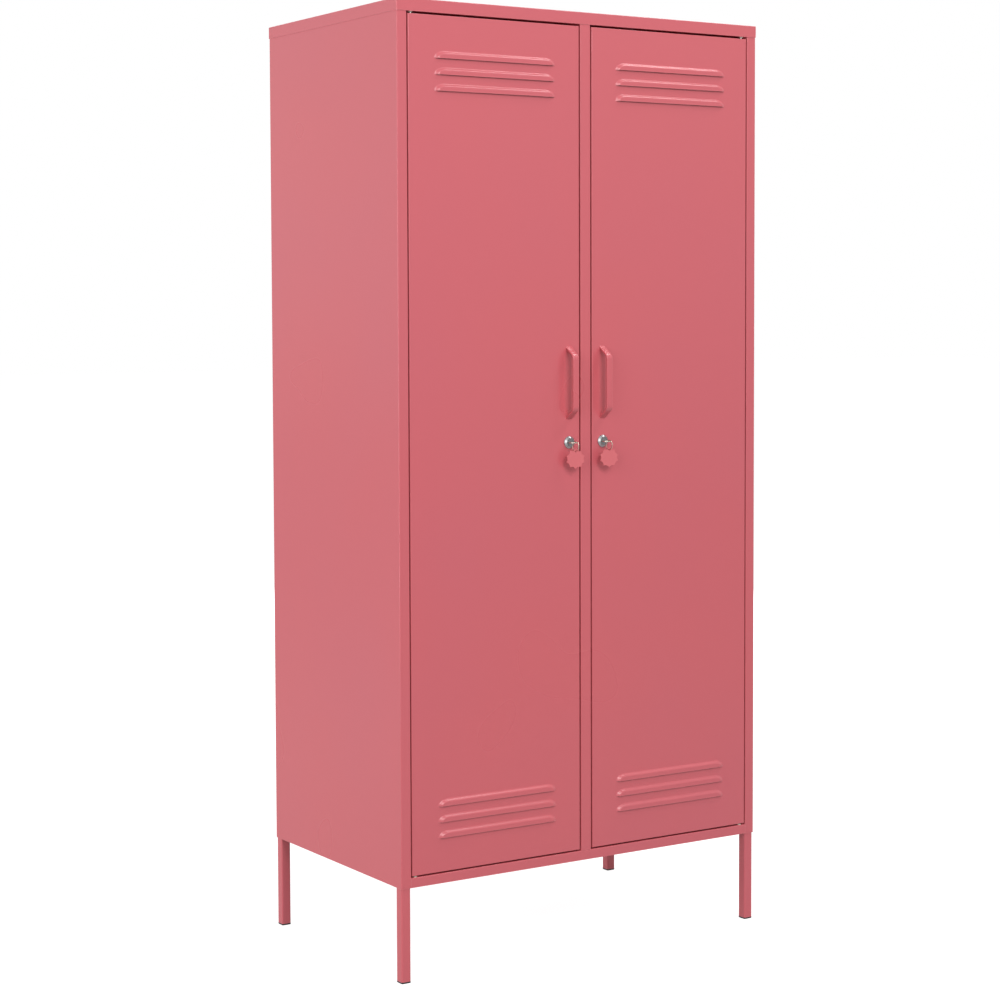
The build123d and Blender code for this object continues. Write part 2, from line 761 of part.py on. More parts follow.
    # Lock plug: turns in the barrel, takes the key in front and carries the cam behind
    plug_front = front - plug_proud
    with BuildPart() as lock_plug:
        with BuildSketch(Plane.XZ.offset(-plug_front)):
            with Locations((fitting_x, lock_z)):
                Circle(plug_radius)
        extrude(amount=-(cam_front - plug_front))
        with BuildSketch(Plane.XZ.offset(-cam_front)):
            with Locations((fitting_x, lock_z)):
                Rectangle(cam_tail, cam_tail)
        extrude(amount=-cam_thickness)
        with BuildSketch(Plane.XZ.offset(-plug_front)):
            with Locations((fitting_x, lock_z)):
                Rectangle(key_blade_width + 2 * keyway_clearance, key_thickness + 2 * keyway_clearance)
        extrude(amount=-key_blade_length - keyway_clearance, mode=Mode.SUBTRACT)
        with BuildSketch(Plane.XZ.offset(-cam_back)):
            with Locations((fitting_x, lock_z)):
                Circle(cam_screw_radius)
        extrude(amount=cam_screw_length, mode=Mode.SUBTRACT)
    save(lock_plug.part, f"{side}_lock_plug")

    # Lock cam: stands upright when unlocked, and turns behind the post's flange
    with BuildPart() as lock_cam:
        with BuildSketch(Plane.XZ.offset(-cam_front)):
            with Locations((fitting_x, lock_z + (cam_reach - cam_width / 2) / 2)):
                SlotOverall(cam_reach + cam_width / 2, cam_width, rotation=90)
            with Locations((fitting_x, lock_z)):
                Rectangle(cam_tail, cam_tail, mode=Mode.SUBTRACT)
        extrude(amount=-cam_thickness)
    save(lock_cam.part, f"{side}_lock_cam")

    with BuildPart() as cam_screw:
        with BuildSketch(Plane.XZ.offset(-cam_back)):
            with Locations((fitting_x, lock_z)):
                Circle(cam_screw_head_radius)
        extrude(amount=-cam_screw_head)
        with BuildSketch(Plane.XZ.offset(-cam_back)):
            with Locations((fitting_x, lock_z)):
                Circle(cam_screw_radius)
        extrude(amount=cam_screw_length)
    save(cam_screw.part, f"{side}_cam_screw")

    # Key: lies flat in the plug, with its bow out in front of the door
    bow_back = plug_front - key_neck_length
    bow_front = bow_back - key_bow_length
    with BuildPart() as key:
        with BuildSketch(Plane.XY.offset(lock_z - key_thickness / 2)):
            with Locations((fitting_x, plug_front + key_blade_length / 2)):
                Rectangle(key_blade_width, key_blade_length)
            with Locations((fitting_x, (plug_front + bow_back) / 2 - key_bow_corner / 2)):
                Rectangle(key_neck_width, key_neck_length + key_bow_corner)
            with Locations((fitting_x, (bow_back + bow_front) / 2)):
                RectangleRounded(key_bow_width, key_bow_length, key_bow_corner)
            with Locations((fitting_x, bow_front + key_web + key_hole_radius)):
                Circle(key_hole_radius, mode=Mode.SUBTRACT)
        extrude(amount=key_thickness)
        bow_edges = key.faces().filter_by(Axis.Z).edges().filter_by(GeomType.CIRCLE)
        fillet(bow_edges, radius=key_edge)
    save(key.part, f"{side}_key")

    # Key ring: hangs over the web at the end of the key's bow
    web_middle = bow_front + key_web / 2
    ring_z = lock_z + key_thickness / 2 + ring_play - ring_radius + wire_radius
    with BuildPart(upright_plane((fitting_x, web_middle, ring_z), ring_turn)) as key_ring:
        Torus(ring_radius, wire_radius)
    save(key_ring.part, f"{side}_key_ring")

    # Key tag: a round plate with a scalloped edge, hung through a hole near its top
    tag_hole_z = ring_z - ring_radius + wire_radius + tag_play - tag_hole_radius
    tag_z = tag_hole_z - tag_hole_from_middle
    tag_plane = upright_plane((fitting_x, web_middle, tag_z), tag_turn)
    with BuildPart() as key_tag:
        with BuildSketch(tag_plane):
            Circle(tag_radius)
            first_valley = 90 + 180 / tag_points
            with PolarLocations(tag_valley_radius + tag_scallop_radius, tag_points, first_valley):
                Circle(tag_scallop_radius, mode=Mode.SUBTRACT)
        extrude(amount=tag_thickness / 2, both=True)
        tag_corners = key_tag.edges().filter_by(GeomType.LINE)
        fillet(tag_corners, radius=tag_point_rounding)
        with BuildSketch(tag_plane):
            with Locations((0, tag_hole_from_middle)):
                Circle(tag_hole_radius)
        extrude(amount=tag_thickness, both=True, mode=Mode.SUBTRACT)
    save(key_tag.part, f"{side}_key_tag")

# Shelves: shallow pans with turned-down edges, on four clips each
shelves = {"hat_shelf": (-1, hat_shelf_top)}
for place, name in enumerate(bay_shelves, start=1):
    shelves[name] = (1, floor_top + place * shelf_step)
for name, (sign, top) in shelves.items():
    shelf_centre = (sign * bay_middle, (shelf_front + shelf_back) / 2)
    with BuildPart() as shelf:
        with BuildSketch(Plane.XY.offset(top - shelf_edge)):
            with Locations(shelf_centre):
                Rectangle(shelf_width, shelf_depth)
        extrude(amount=shelf_edge)
        fillet(shelf.faces().sort_by(Axis.Z)[-1].edges(), radius=bend_radius)
        with BuildSketch(Plane.XY.offset(top - shelf_edge)):
            with Locations(shelf_centre):
                Rectangle(shelf_width - 2 * sheet, shelf_depth - 2 * sheet)
        extrude(amount=shelf_edge - sheet, mode=Mode.SUBTRACT)
    save(shelf.part, name)

with BuildPart() as shelf_clips:
    for sign, top in shelves.values():
        ledge_top = top - shelf_edge
        for wall, inward in ((sign * bay_inner, sign), (sign * bay_outer, -sign)):
            for y in clip_y_places:
                with BuildSketch(Plane.XZ.offset(-y)):
                    with Locations((wall + inward * clip_thickness / 2, ledge_top - clip_height / 2)):
                        Rectangle(clip_thickness, clip_height)
                    with Locations((wall + inward * clip_ledge / 2, ledge_top - clip_thickness / 2)):
                        Rectangle(clip_ledge, clip_thickness)
                extrude(amount=clip_width / 2, both=True)
save(shelf_clips.part, "shelf_clips")

# Hanging rail below the hat shelf, with a socket at each end
with BuildPart() as hanging_rail:
    rail_length = bay_outer - bay_inner - 2 * socket_base
    with BuildSketch(Plane.YZ.offset(-bay_middle)):
        with Locations((rail_y, rail_z)):
            Circle(rail_radius)
            Circle(rail_radius - rail_wall, mode=Mode.SUBTRACT)
    extrude(amount=rail_length / 2, both=True)
save(hanging_rail.part, "hanging_rail")

with BuildPart() as rail_sockets:
    for wall, inward in ((-bay_inner, -1), (-bay_outer, 1)):
        with BuildSketch(Plane.YZ.offset(wall)):
            with Locations((rail_y, rail_z)):
                Circle(socket_radius)
        extrude(amount=inward * socket_depth)
        with BuildSketch(Plane.YZ.offset(wall + inward * socket_base)):
            with Locations((rail_y, rail_z)):
                Circle(rail_radius + lap_clearance)
        extrude(amount=inward * socket_depth, mode=Mode.SUBTRACT)
save(rail_sockets.part, "rail_sockets")
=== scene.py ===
# Looks of a two-door sheet steel locker cabinet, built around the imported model, in metres.
import json
from math import acos, atan2, copysign, cos, degrees, pi, radians, sin, sqrt

import bmesh
import bpy
from mathutils import Matrix, Vector


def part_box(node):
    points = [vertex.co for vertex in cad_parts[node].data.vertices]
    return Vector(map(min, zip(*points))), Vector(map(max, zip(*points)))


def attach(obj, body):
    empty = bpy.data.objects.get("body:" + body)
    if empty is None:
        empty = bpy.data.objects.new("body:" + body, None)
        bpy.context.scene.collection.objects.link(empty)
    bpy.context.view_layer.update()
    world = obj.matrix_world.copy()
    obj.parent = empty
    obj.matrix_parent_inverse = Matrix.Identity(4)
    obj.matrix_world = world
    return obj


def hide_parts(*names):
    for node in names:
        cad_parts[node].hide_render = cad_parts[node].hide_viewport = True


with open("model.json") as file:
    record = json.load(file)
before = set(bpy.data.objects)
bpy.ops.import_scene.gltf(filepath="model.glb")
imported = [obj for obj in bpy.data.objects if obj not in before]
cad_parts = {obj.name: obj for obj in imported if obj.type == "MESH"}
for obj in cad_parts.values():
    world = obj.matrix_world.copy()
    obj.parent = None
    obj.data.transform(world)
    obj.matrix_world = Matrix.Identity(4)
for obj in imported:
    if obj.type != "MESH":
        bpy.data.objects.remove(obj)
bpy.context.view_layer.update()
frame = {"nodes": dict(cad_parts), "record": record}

MM = 0.001
SIDES = ("left", "right")
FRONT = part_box("centre_post")[0][1]  # plane of the doors and the post
MERGE = 0.01 * MM  # points nearer than this become one
SMOOTH_BELOW = radians(38)  # neighbouring faces that turn less are shaded smooth
PLATE_SMOOTH_BELOW = radians(10)  # the same on plates, where it keeps the flat faces flat

# The sizes below are those that the boxes of the frame's nodes don't give.

# Doors
SHEET = 0.8 * MM
BEND = 1.6 * MM  # outside radius of a fold
FOLD_STEPS = 6
SUPPORT = 0.6 * MM  # narrow strip beside a fold
DOOR_LIP = 14 * MM
FITTING_ROOM = 30 * MM  # flat sheet past the lock and the handle
LOCK_HOLE = 9.5 * MM
SCREW_HOLE = 2.1 * MM
HALF_HOLE_STEPS = 20
LOUVRE_INSET = 65 * MM  # from the door's end to the nearest louvre
LOUVRE = {
    "Count": 3,
    "Pitch": 30 * MM,
    "Length": 274 * MM,
    "Height": 14 * MM,
    "Proud": 4.2 * MM,
    "Run": 24 * MM,  # length of the oval at each end
    "Slope": 6.3 * MM,  # from the outline to the full height
    "Margin": 1 * MM,  # flat sheet round the hood
    "End": 27 * MM,  # part of each end that has close columns
    "Columns": 56,
    "Rows": 17,
}

# Handles
HANDLE_GRIP = 52.5 * MM  # half of the straight part
HANDLE_WIDTH = 13.5 * MM
HANDLE_THICK = 4 * MM
HANDLE_BEND = 15 * MM  # outside radius
HANDLE_BEND_STEPS = 10
HANDLE_EDGE = 1.3 * MM  # rounding along the back
HANDLE_EDGE_STEPS = 5
HANDLE_CROWN = 0.7 * MM  # rise of the front's middle above its edges
HANDLE_CROWN_STEPS = 24
BOSS_REACH = 64 * MM  # from the handle's middle
BOSS_RADIUS = 4 * MM
BOSS_HEIGHT = 3.3 * MM
BOSS_SEGMENTS = 32

# Locks
LOCK_BORE = 6.05 * MM
LOCK_FACE = 8.7 * MM  # radius of the flat part
LOCK_SHOULDER = 3.2 * MM  # depth of the sloping rim
LOCK_BREAK = 0.3 * MM  # softening of an edge
LOCK_BREAK_STEPS = 4
LOCK_SEGMENTS = 64
FACING_FRONT = -0.5  # a normal whose Y is lower faces the front
THREAD_CREST = 9.4 * MM
THREAD_ROOT = 8.9 * MM
THREAD_PITCH = 1.5 * MM

# Keys
KEY_BLADE = 2.8 * MM  # half of the blade's width
KEY_TIP = 2.4 * MM  # length of the sloping tip
KEY_CUTS = [0.9 * MM, 1.5 * MM, 0.6 * MM, 1.2 * MM]  # depths along the blade
KEY_CUT_STEP = 3.4 * MM
KEY_CUT = 1.3 * MM  # half of a cut's width
KEY_CUT_FLAT = KEY_CUT / 3  # half of its bottom
KEY_NECK = 2 * MM
KEY_NECK_HALF = 4 * MM
KEY_CORNER = 7 * MM
KEY_CORNER_STEPS = 10
KEY_HOLE = 4.6 * MM
KEY_WEB = 2 * MM  # between the hole and the end of the bow
KEY_EDGE = 0.3 * MM

# Key rings and tags, whose turns run from the front towards the right
RING_TURN = radians(-85)
RING_COILS = 2
RING_STEPS = 72  # for one coil
RING_DEEP = 1.4 * MM  # wire, across the ring
RING_WIDE = 0.52 * MM  # wire, along the ring's axis
RING_EDGE = 0.12 * MM
RING_EDGE_STEPS = 2
TAG_TURN = radians(-22)
TAG_POINTS = 10
TAG_STEPS = 16  # for one scallop
TAG_VALLEY = 16 * MM
TAG_SCALLOP = 8 * MM
TAG_THICK = 2 * MM
TAG_EDGE = 0.3 * MM
TAG_HOLE = 2 * MM
TAG_HOLE_UP = 14.6 * MM
PLATE_EDGE_STEPS = 2
PLATE_HOLE_POINTS = 48

# Fasteners, whose heads, shanks, dimples, bulbs, corners and bores are given as radii
RIVET_HEAD = 3.2 * MM
RIVET_HEIGHT = 0.9 * MM
RIVET_DIMPLE = 0.9 * MM
RIVET_SHANK = 1.6 * MM
RIVET_BULB = 2.3 * MM
RIVET_BULB_HEIGHT = 1.6 * MM
RIVET_COUNT = 7
EDGE_GRIP = 1.6 * MM
SEAM_GRIP = 2.6 * MM
BOLT_HEAD = 6 * MM
BOLT_HEIGHT = 3.5 * MM
BOLT_SHANK = 3 * MM
BOLT_PITCH = 30 * MM
NUT_CORNER = 5.8 * MM
NUT_BORE = 3.05 * MM
NUT_CHAMFER = 0.8 * MM
SCREW_HEAD = 4 * MM
SCREW_HEIGHT = 2.5 * MM
SCREW_SHANK = 2 * MM
CAM_HEAD = 4.5 * MM
CAM_HEIGHT = 2.4 * MM
CAM_SHANK = 1.75 * MM
BUMPER = 4 * MM  # radius of a pad
BUMPER_EDGE = 1.2 * MM
HEX = 6  # sides of a nut and of a socket
FASTENER_SEGMENTS = 36

# Turns that point a fastener's head
TO_FRONT = (pi / 2, 0, 0)
TO_BACK = (-pi / 2, 0, 0)
TO_RIGHT = (0, pi / 2, 0)
TO_TOP = (0, 0, 0)
NO_STEP = (0, 0, 0)


def linear(hex_colour):
    """Linear RGBA of an sRGB hex colour."""
    parts = [int(hex_colour[i:i + 2], 16) / 255 for i in (1, 3, 5)]
    return [p / 12.92 if p <= 0.04045 else ((p + 0.055) / 1.055) ** 2.4 for p in parts] + [1.0]


def add_node(tree, kind, inputs=None, **settings):
    """Add a node, apply its settings, and fill or link its inputs."""
    node = tree.nodes.new(kind)
    for name, value in settings.items():
        setattr(node, name, value)
    for name, value in (inputs or {}).items():
        if isinstance(value, bpy.types.NodeSocket):
            tree.links.new(value, node.inputs[name])
        else:
            node.inputs[name].default_value = value
    return node


def per_metre(size_mm):
    """Texture scale that gives a pattern of that size, on coordinates in metres."""
    return 1 / (size_mm * MM)


def placed(name, data):
    """Object in the scene that holds some data."""
    holder = bpy.data.objects.new(name, data)
    bpy.context.scene.collection.objects.link(holder)
    return holder


def as_mesh(holder):
    """Plain mesh of an object as its modifiers or its curve leave it."""
    return bpy.data.meshes.new_from_object(holder.evaluated_get(bpy.context.evaluated_depsgraph_get()))


# Materials

def new_material(name):
    """Material with an empty tree, and its output node."""
    material = bpy.data.materials.new(name)
    material.use_nodes = True
    tree = material.node_tree
    tree.nodes.clear()
    return material, tree, add_node(tree, "ShaderNodeOutputMaterial")


def powder_coat(name, warm, cool, edge, roughness):
    """Polyester powder baked onto sheet steel: satin, faintly rippled like orange peel, slightly uneven in
    tone, and with a painted highlight: paler along folds and cut edges, where their rounding catches light."""
    cloud_mm, highlight_radius, highlight_share = 420, 1.6 * MM, 0.55
    # Real orange peel is 1 to 2 mm across. It is drawn at 6 mm, so that it shows from across a room.
    peel_mm, peel_depth = 6, 0.25 * MM
    material, tree, output = new_material(name)
    place = add_node(tree, "ShaderNodeTexCoord").outputs["Object"]
    cloud = add_node(tree, "ShaderNodeTexNoise", {
        "Vector": place, "Scale": per_metre(cloud_mm), "Detail": 2.0})
    tone = add_node(tree, "ShaderNodeMix", {
        "Factor": cloud.outputs["Fac"], "A": linear(warm), "B": linear(cool)}, data_type="RGBA")
    # Painted highlight: where a rounded fold turns away from the face within this radius, the colour is
    # mixed towards the paler edge colour.
    fold = add_node(tree, "ShaderNodeBevel", {"Radius": highlight_radius}, samples=6)
    face = add_node(tree, "ShaderNodeNewGeometry")
    along = add_node(tree, "ShaderNodeVectorMath", {
        0: fold.outputs["Normal"], 1: face.outputs["Normal"]}, operation="DOT_PRODUCT")
    painted_edge_highlight = add_node(tree, "ShaderNodeMapRange", {
        "Value": along.outputs["Value"], "From Min": 0.995, "From Max": 0.80,
        "To Min": 0.0, "To Max": highlight_share})
    colour = add_node(tree, "ShaderNodeMix", {
        "Factor": painted_edge_highlight.outputs["Result"], "A": tone.outputs["Result"], "B": linear(edge)}, data_type="RGBA")
    peel = add_node(tree, "ShaderNodeTexNoise", {
        "Vector": place, "Scale": per_metre(peel_mm), "Detail": 1.0})
    ripple = add_node(tree, "ShaderNodeBump", {
        "Height": peel.outputs["Fac"], "Strength": 0.03, "Distance": peel_depth})
    gloss = add_node(tree, "ShaderNodeMapRange", {
        "Value": cloud.outputs["Fac"], "To Min": roughness - 0.03, "To Max": roughness + 0.04})
    coat = add_node(tree, "ShaderNodeBsdfPrincipled", {
        "Base Color": colour.outputs["Result"], "Roughness": gloss.outputs["Result"], "IOR": 1.5,
        "Normal": ripple.outputs["Normal"]})
    tree.links.new(coat.outputs["BSDF"], output.inputs["Surface"])
    return material


def plated_metal(name, colour, dull, roughness, marks_mm):
    """Plated metal: mirror-like or satin, with fine handling marks that break up its gloss."""
    material, tree, output = new_material(name)
    place = add_node(tree, "ShaderNodeTexCoord").outputs["Object"]
    marks = add_node(tree, "ShaderNodeTexNoise", {
        "Vector": place, "Scale": per_metre(marks_mm), "Detail": 4.0})
    tone = add_node(tree, "ShaderNodeMix", {
        "Factor": marks.outputs["Fac"], "A": linear(colour), "B": linear(dull)}, data_type="RGBA")
    gloss = add_node(tree, "ShaderNodeMapRange", {
        "Value": marks.outputs["Fac"], "From Min": 0.3, "From Max": 0.7,
        "To Min": roughness * 0.8, "To Max": roughness * 1.3})
    metal = add_node(tree, "ShaderNodeBsdfPrincipled", {
        "Base Color": tone.outputs["Result"], "Roughness": gloss.outputs["Result"], "Metallic": 1.0})
    tree.links.new(metal.outputs["BSDF"], output.inputs["Surface"])
    return material


def moulded_plastic(name, colour, scuffed, roughness, grit_mm, ior):
    """Moulded plastic or rubber: one colour through, with the mould's fine grit and a few scuffs."""
    scuff_mm, grit_depth = 9, 0.1 * MM
    material, tree, output = new_material(name)
    place = add_node(tree, "ShaderNodeTexCoord").outputs["Object"]
    scuff = add_node(tree, "ShaderNodeTexNoise", {
        "Vector": place, "Scale": per_metre(scuff_mm), "Detail": 5.0})
    share = add_node(tree, "ShaderNodeMapRange", {
        "Value": scuff.outputs["Fac"], "From Min": 0.55, "From Max": 0.8, "To Max": 0.6})
    tone = add_node(tree, "ShaderNodeMix", {
        "Factor": share.outputs["Result"], "A": linear(colour), "B": linear(scuffed)}, data_type="RGBA")
    grit = add_node(tree, "ShaderNodeTexNoise", {
        "Vector": place, "Scale": per_metre(grit_mm), "Detail": 2.0})
    bump = add_node(tree, "ShaderNodeBump", {
        "Height": grit.outputs["Fac"], "Strength": 0.2, "Distance": grit_depth})
    plastic = add_node(tree, "ShaderNodeBsdfPrincipled", {
        "Base Color": tone.outputs["Result"], "Roughness": roughness, "IOR": ior,
        "Normal": bump.outputs["Normal"]})
    tree.links.new(plastic.outputs["BSDF"], output.inputs["Surface"])
    return material


# The third colour, #E08A90, is the painted highlight along folds and cut edges.
coral_coat = powder_coat("coral_powder_coat", "#D16268", "#C9636E", "#E08A90", 0.28)
tag_plastic = moulded_plastic("coral_acetal", "#D2686E", "#D46C72", 0.42, 1.5, 1.48)
bright_chrome = plated_metal("bright_chrome", "#C9CBCC", "#B4B6B8", 0.10, 2.0)
lock_rim = plated_metal("polished_nickel", "#ABADAE", "#9A9C9D", 0.29, 1.2)
# A darker copy of the lock's nickel: painted shade standing for the dark surroundings that the lock's face
# mirrors.
lock_face = plated_metal("satin_black_nickel", "#949496", "#767678", 0.26, 1.2)
nickel = plated_metal("nickel_plate", "#D8D2C4", "#BFB8AA", 0.22, 1.0)
zinc = plated_metal("zinc_plate", "#B9BCBB", "#A5A79F", 0.34, 3.0)
black_foot = moulded_plastic("black_polyethylene", "#151517", "#2C2C2F", 0.55, 1.0, 1.51)
nylon = moulded_plastic("natural_nylon", "#E6DCCB", "#D3C7B3", 0.45, 1.0, 1.53)
rubber = moulded_plastic("grey_rubber", "#3B3B3C", "#4A4A4B", 0.80, 0.8, 1.52)

SLOT_FINISH = {
    "coral_powder_coat": coral_coat, "black_plastic": black_foot, "zinc_steel": zinc, "white_nylon": nylon,
    "grey_rubber": rubber, "chrome": bright_chrome, "nickel_steel": nickel, "coral_tag": tag_plastic,
}
for subpart in frame["record"]["subparts"]:
    node = frame["nodes"][subpart["node"]]
    node.data.materials.clear()
    node.data.materials.append(SLOT_FINISH[subpart["material_slot"]])
# The plugs take the same darker nickel, as painted shade.
for side in SIDES:
    frame["nodes"][f"{side}_lock_plug"].data.materials[0] = lock_face


# Floor, light and camera

def shown_rays(tree, mirrored):
    """One for a ray that sees the set itself, a share of it for a mirrored or passed ray, else zero."""
    ray = add_node(tree, "ShaderNodeLightPath").outputs
    bounced = add_node(tree, "ShaderNodeMath", {
        0: ray["Is Glossy Ray"], 1: ray["Is Transmission Ray"]}, operation="MAXIMUM")
    return add_node(tree, "ShaderNodeMath", {
        0: bounced.outputs[0], 1: mirrored, 2: ray["Is Camera Ray"]}, operation="MULTIPLY_ADD").outputs[0]


def white_world():
    """World that looks white and gives dim light from all round."""
    fill, white = 0.37, 1.0
    world = bpy.data.worlds.new("white_studio")
    bpy.context.scene.world = world
    world.use_nodes = True
    tree = world.node_tree
    tree.nodes.clear()
    strength = add_node(tree, "ShaderNodeMapRange", {
        "Value": shown_rays(tree, 1.0), "To Min": fill, "To Max": white})
    sky = add_node(tree, "ShaderNodeBackground", {
        "Color": (1, 1, 1, 1), "Strength": strength.outputs["Result"]})
    output = add_node(tree, "ShaderNodeOutputWorld")
    tree.links.new(sky.outputs["Background"], output.inputs["Surface"])


def pale_floor():
    """Matt floor that looks nearly white and keeps a faint shadow."""
    half_size, glow_strength, mirrored_share = 40, 0.86, 0.5
    material, tree, output = new_material("white_floor_paint")
    matt = add_node(tree, "ShaderNodeBsdfDiffuse", {"Color": linear("#A8A8A8")})
    lift = add_node(tree, "ShaderNodeMath", {
        0: shown_rays(tree, mirrored_share), 1: glow_strength}, operation="MULTIPLY")
    glow = add_node(tree, "ShaderNodeEmission", {"Strength": lift.outputs[0]})
    both = add_node(tree, "ShaderNodeAddShader", {0: matt.outputs[0], 1: glow.outputs[0]})
    tree.links.new(both.outputs[0], output.inputs["Surface"])
    bm = bmesh.new()
    bmesh.ops.create_grid(bm, x_segments=1, y_segments=1, size=half_size)
    mesh = bpy.data.meshes.new("floor")
    bm.to_mesh(mesh)
    bm.free()
    mesh.materials.append(material)
    floor = placed("floor", mesh)


def softbox(name, place, aim, width, height, power):
    """Flat lamp of a width and a height at a place, turned towards a point."""
    lamp = bpy.data.lights.new(name, "AREA")
    lamp.shape = "RECTANGLE"
    lamp.size = width
    lamp.size_y = height
    lamp.energy = power
    lamp_object = placed(name, lamp)
    lamp_object.location = place
    lamp_object.rotation_euler = (Vector(aim) - Vector(place)).to_track_quat("-Z", "Y").to_euler()


def photo_camera():
    """Camera at the photograph's place. Its frame is 1000 pixels square, and its axis meets the frame
    left of and above the middle."""
    azimuth, elevation, roll = radians(-31.65), radians(3.10), radians(-0.30)
    target, distance = Vector((-0.21834, 0, 1.01573)), 4.40145
    focal_px, axis_x_px, axis_y_px, frame_px = 2213.58, 423.0, 432.9, 1000
    back = Vector((sin(azimuth) * cos(elevation), -cos(azimuth) * cos(elevation), sin(elevation)))
    right = Vector((0, 0, 1)).cross(back).normalized()
    up = back.cross(right)
    turned_right = cos(roll) * right + sin(roll) * up
    turned_up = cos(roll) * up - sin(roll) * right
    data = bpy.data.cameras.new("photo_camera")
    data.sensor_width = 36
    data.lens = focal_px / frame_px * data.sensor_width
    data.shift_x = 0.5 - axis_x_px / frame_px
    data.shift_y = axis_y_px / frame_px - 0.5
    camera = placed("photo_camera", data)
    camera.matrix_world = Matrix.Translation(target + back * distance) @ Matrix(
        (turned_right, turned_up, back)).transposed().to_4x4()
    bpy.context.scene.camera = camera


white_world()
pale_floor()
softbox("key_softbox", place=(-0.8, -6.0, 4.1), aim=(0, 0, 1.0), width=3.0, height=3.0, power=216)
softbox("overhead_strip", place=(1.9, -1.3, 4.4), aim=(0.2, -0.25, 1.1), width=1.9, height=0.6, power=42)
softbox("left_softbox", place=(-4.0, -2.7, 2.2), aim=(0, 0, 1.0), width=2.0, height=3.6, power=58)
softbox("side_softbox", place=(-4.0, 1.2, 1.0), aim=(-0.4, 0, 1.0), width=2.0, height=2.6, power=76)
softbox("rear_softbox", place=(3.0, 4.0, 2.2), aim=(0, 0, 1.0), width=4.2, height=4.2, power=150)
photo_camera()
bpy.context.scene.view_settings.view_transform = "Standard"


# Geometry node trees

def node_tree(name, inputs):
    """Geometry node tree with named inputs. Gives the tree and the sockets of its inputs."""
    tree = bpy.data.node_groups.new(name, "GeometryNodeTree")
    tree.interface.new_socket("Geometry", in_out="OUTPUT", socket_type="NodeSocketGeometry")
    for label, kind in inputs.items():
        tree.interface.new_socket(label, in_out="INPUT", socket_type="NodeSocket" + kind)
    return tree, add_node(tree, "NodeGroupInput").outputs


def close_tree(tree, instances, material):
    """End a tree with real geometry in its finish."""
    solid = add_node(tree, "GeometryNodeRealizeInstances", {"Geometry": instances})
    dressed = add_node(tree, "GeometryNodeSetMaterial", {
        "Geometry": solid.outputs["Geometry"], "Material": material})
    add_node(tree, "NodeGroupOutput", {"Geometry": dressed.outputs["Geometry"]})


def grown(tree, values):
    """Plain mesh that a tree gives for those input values."""
    holder = placed(tree.name, bpy.data.meshes.new(tree.name))
    modifier = holder.modifiers.new(tree.name, "NODES")
    modifier.node_group = tree
    for item in tree.interface.items_tree:
        if item.name in values:
            modifier[item.identifier] = values[item.name]
    mesh = as_mesh(holder)
    holder.modifiers.remove(modifier)
    bpy.data.objects.remove(holder)
    return mesh


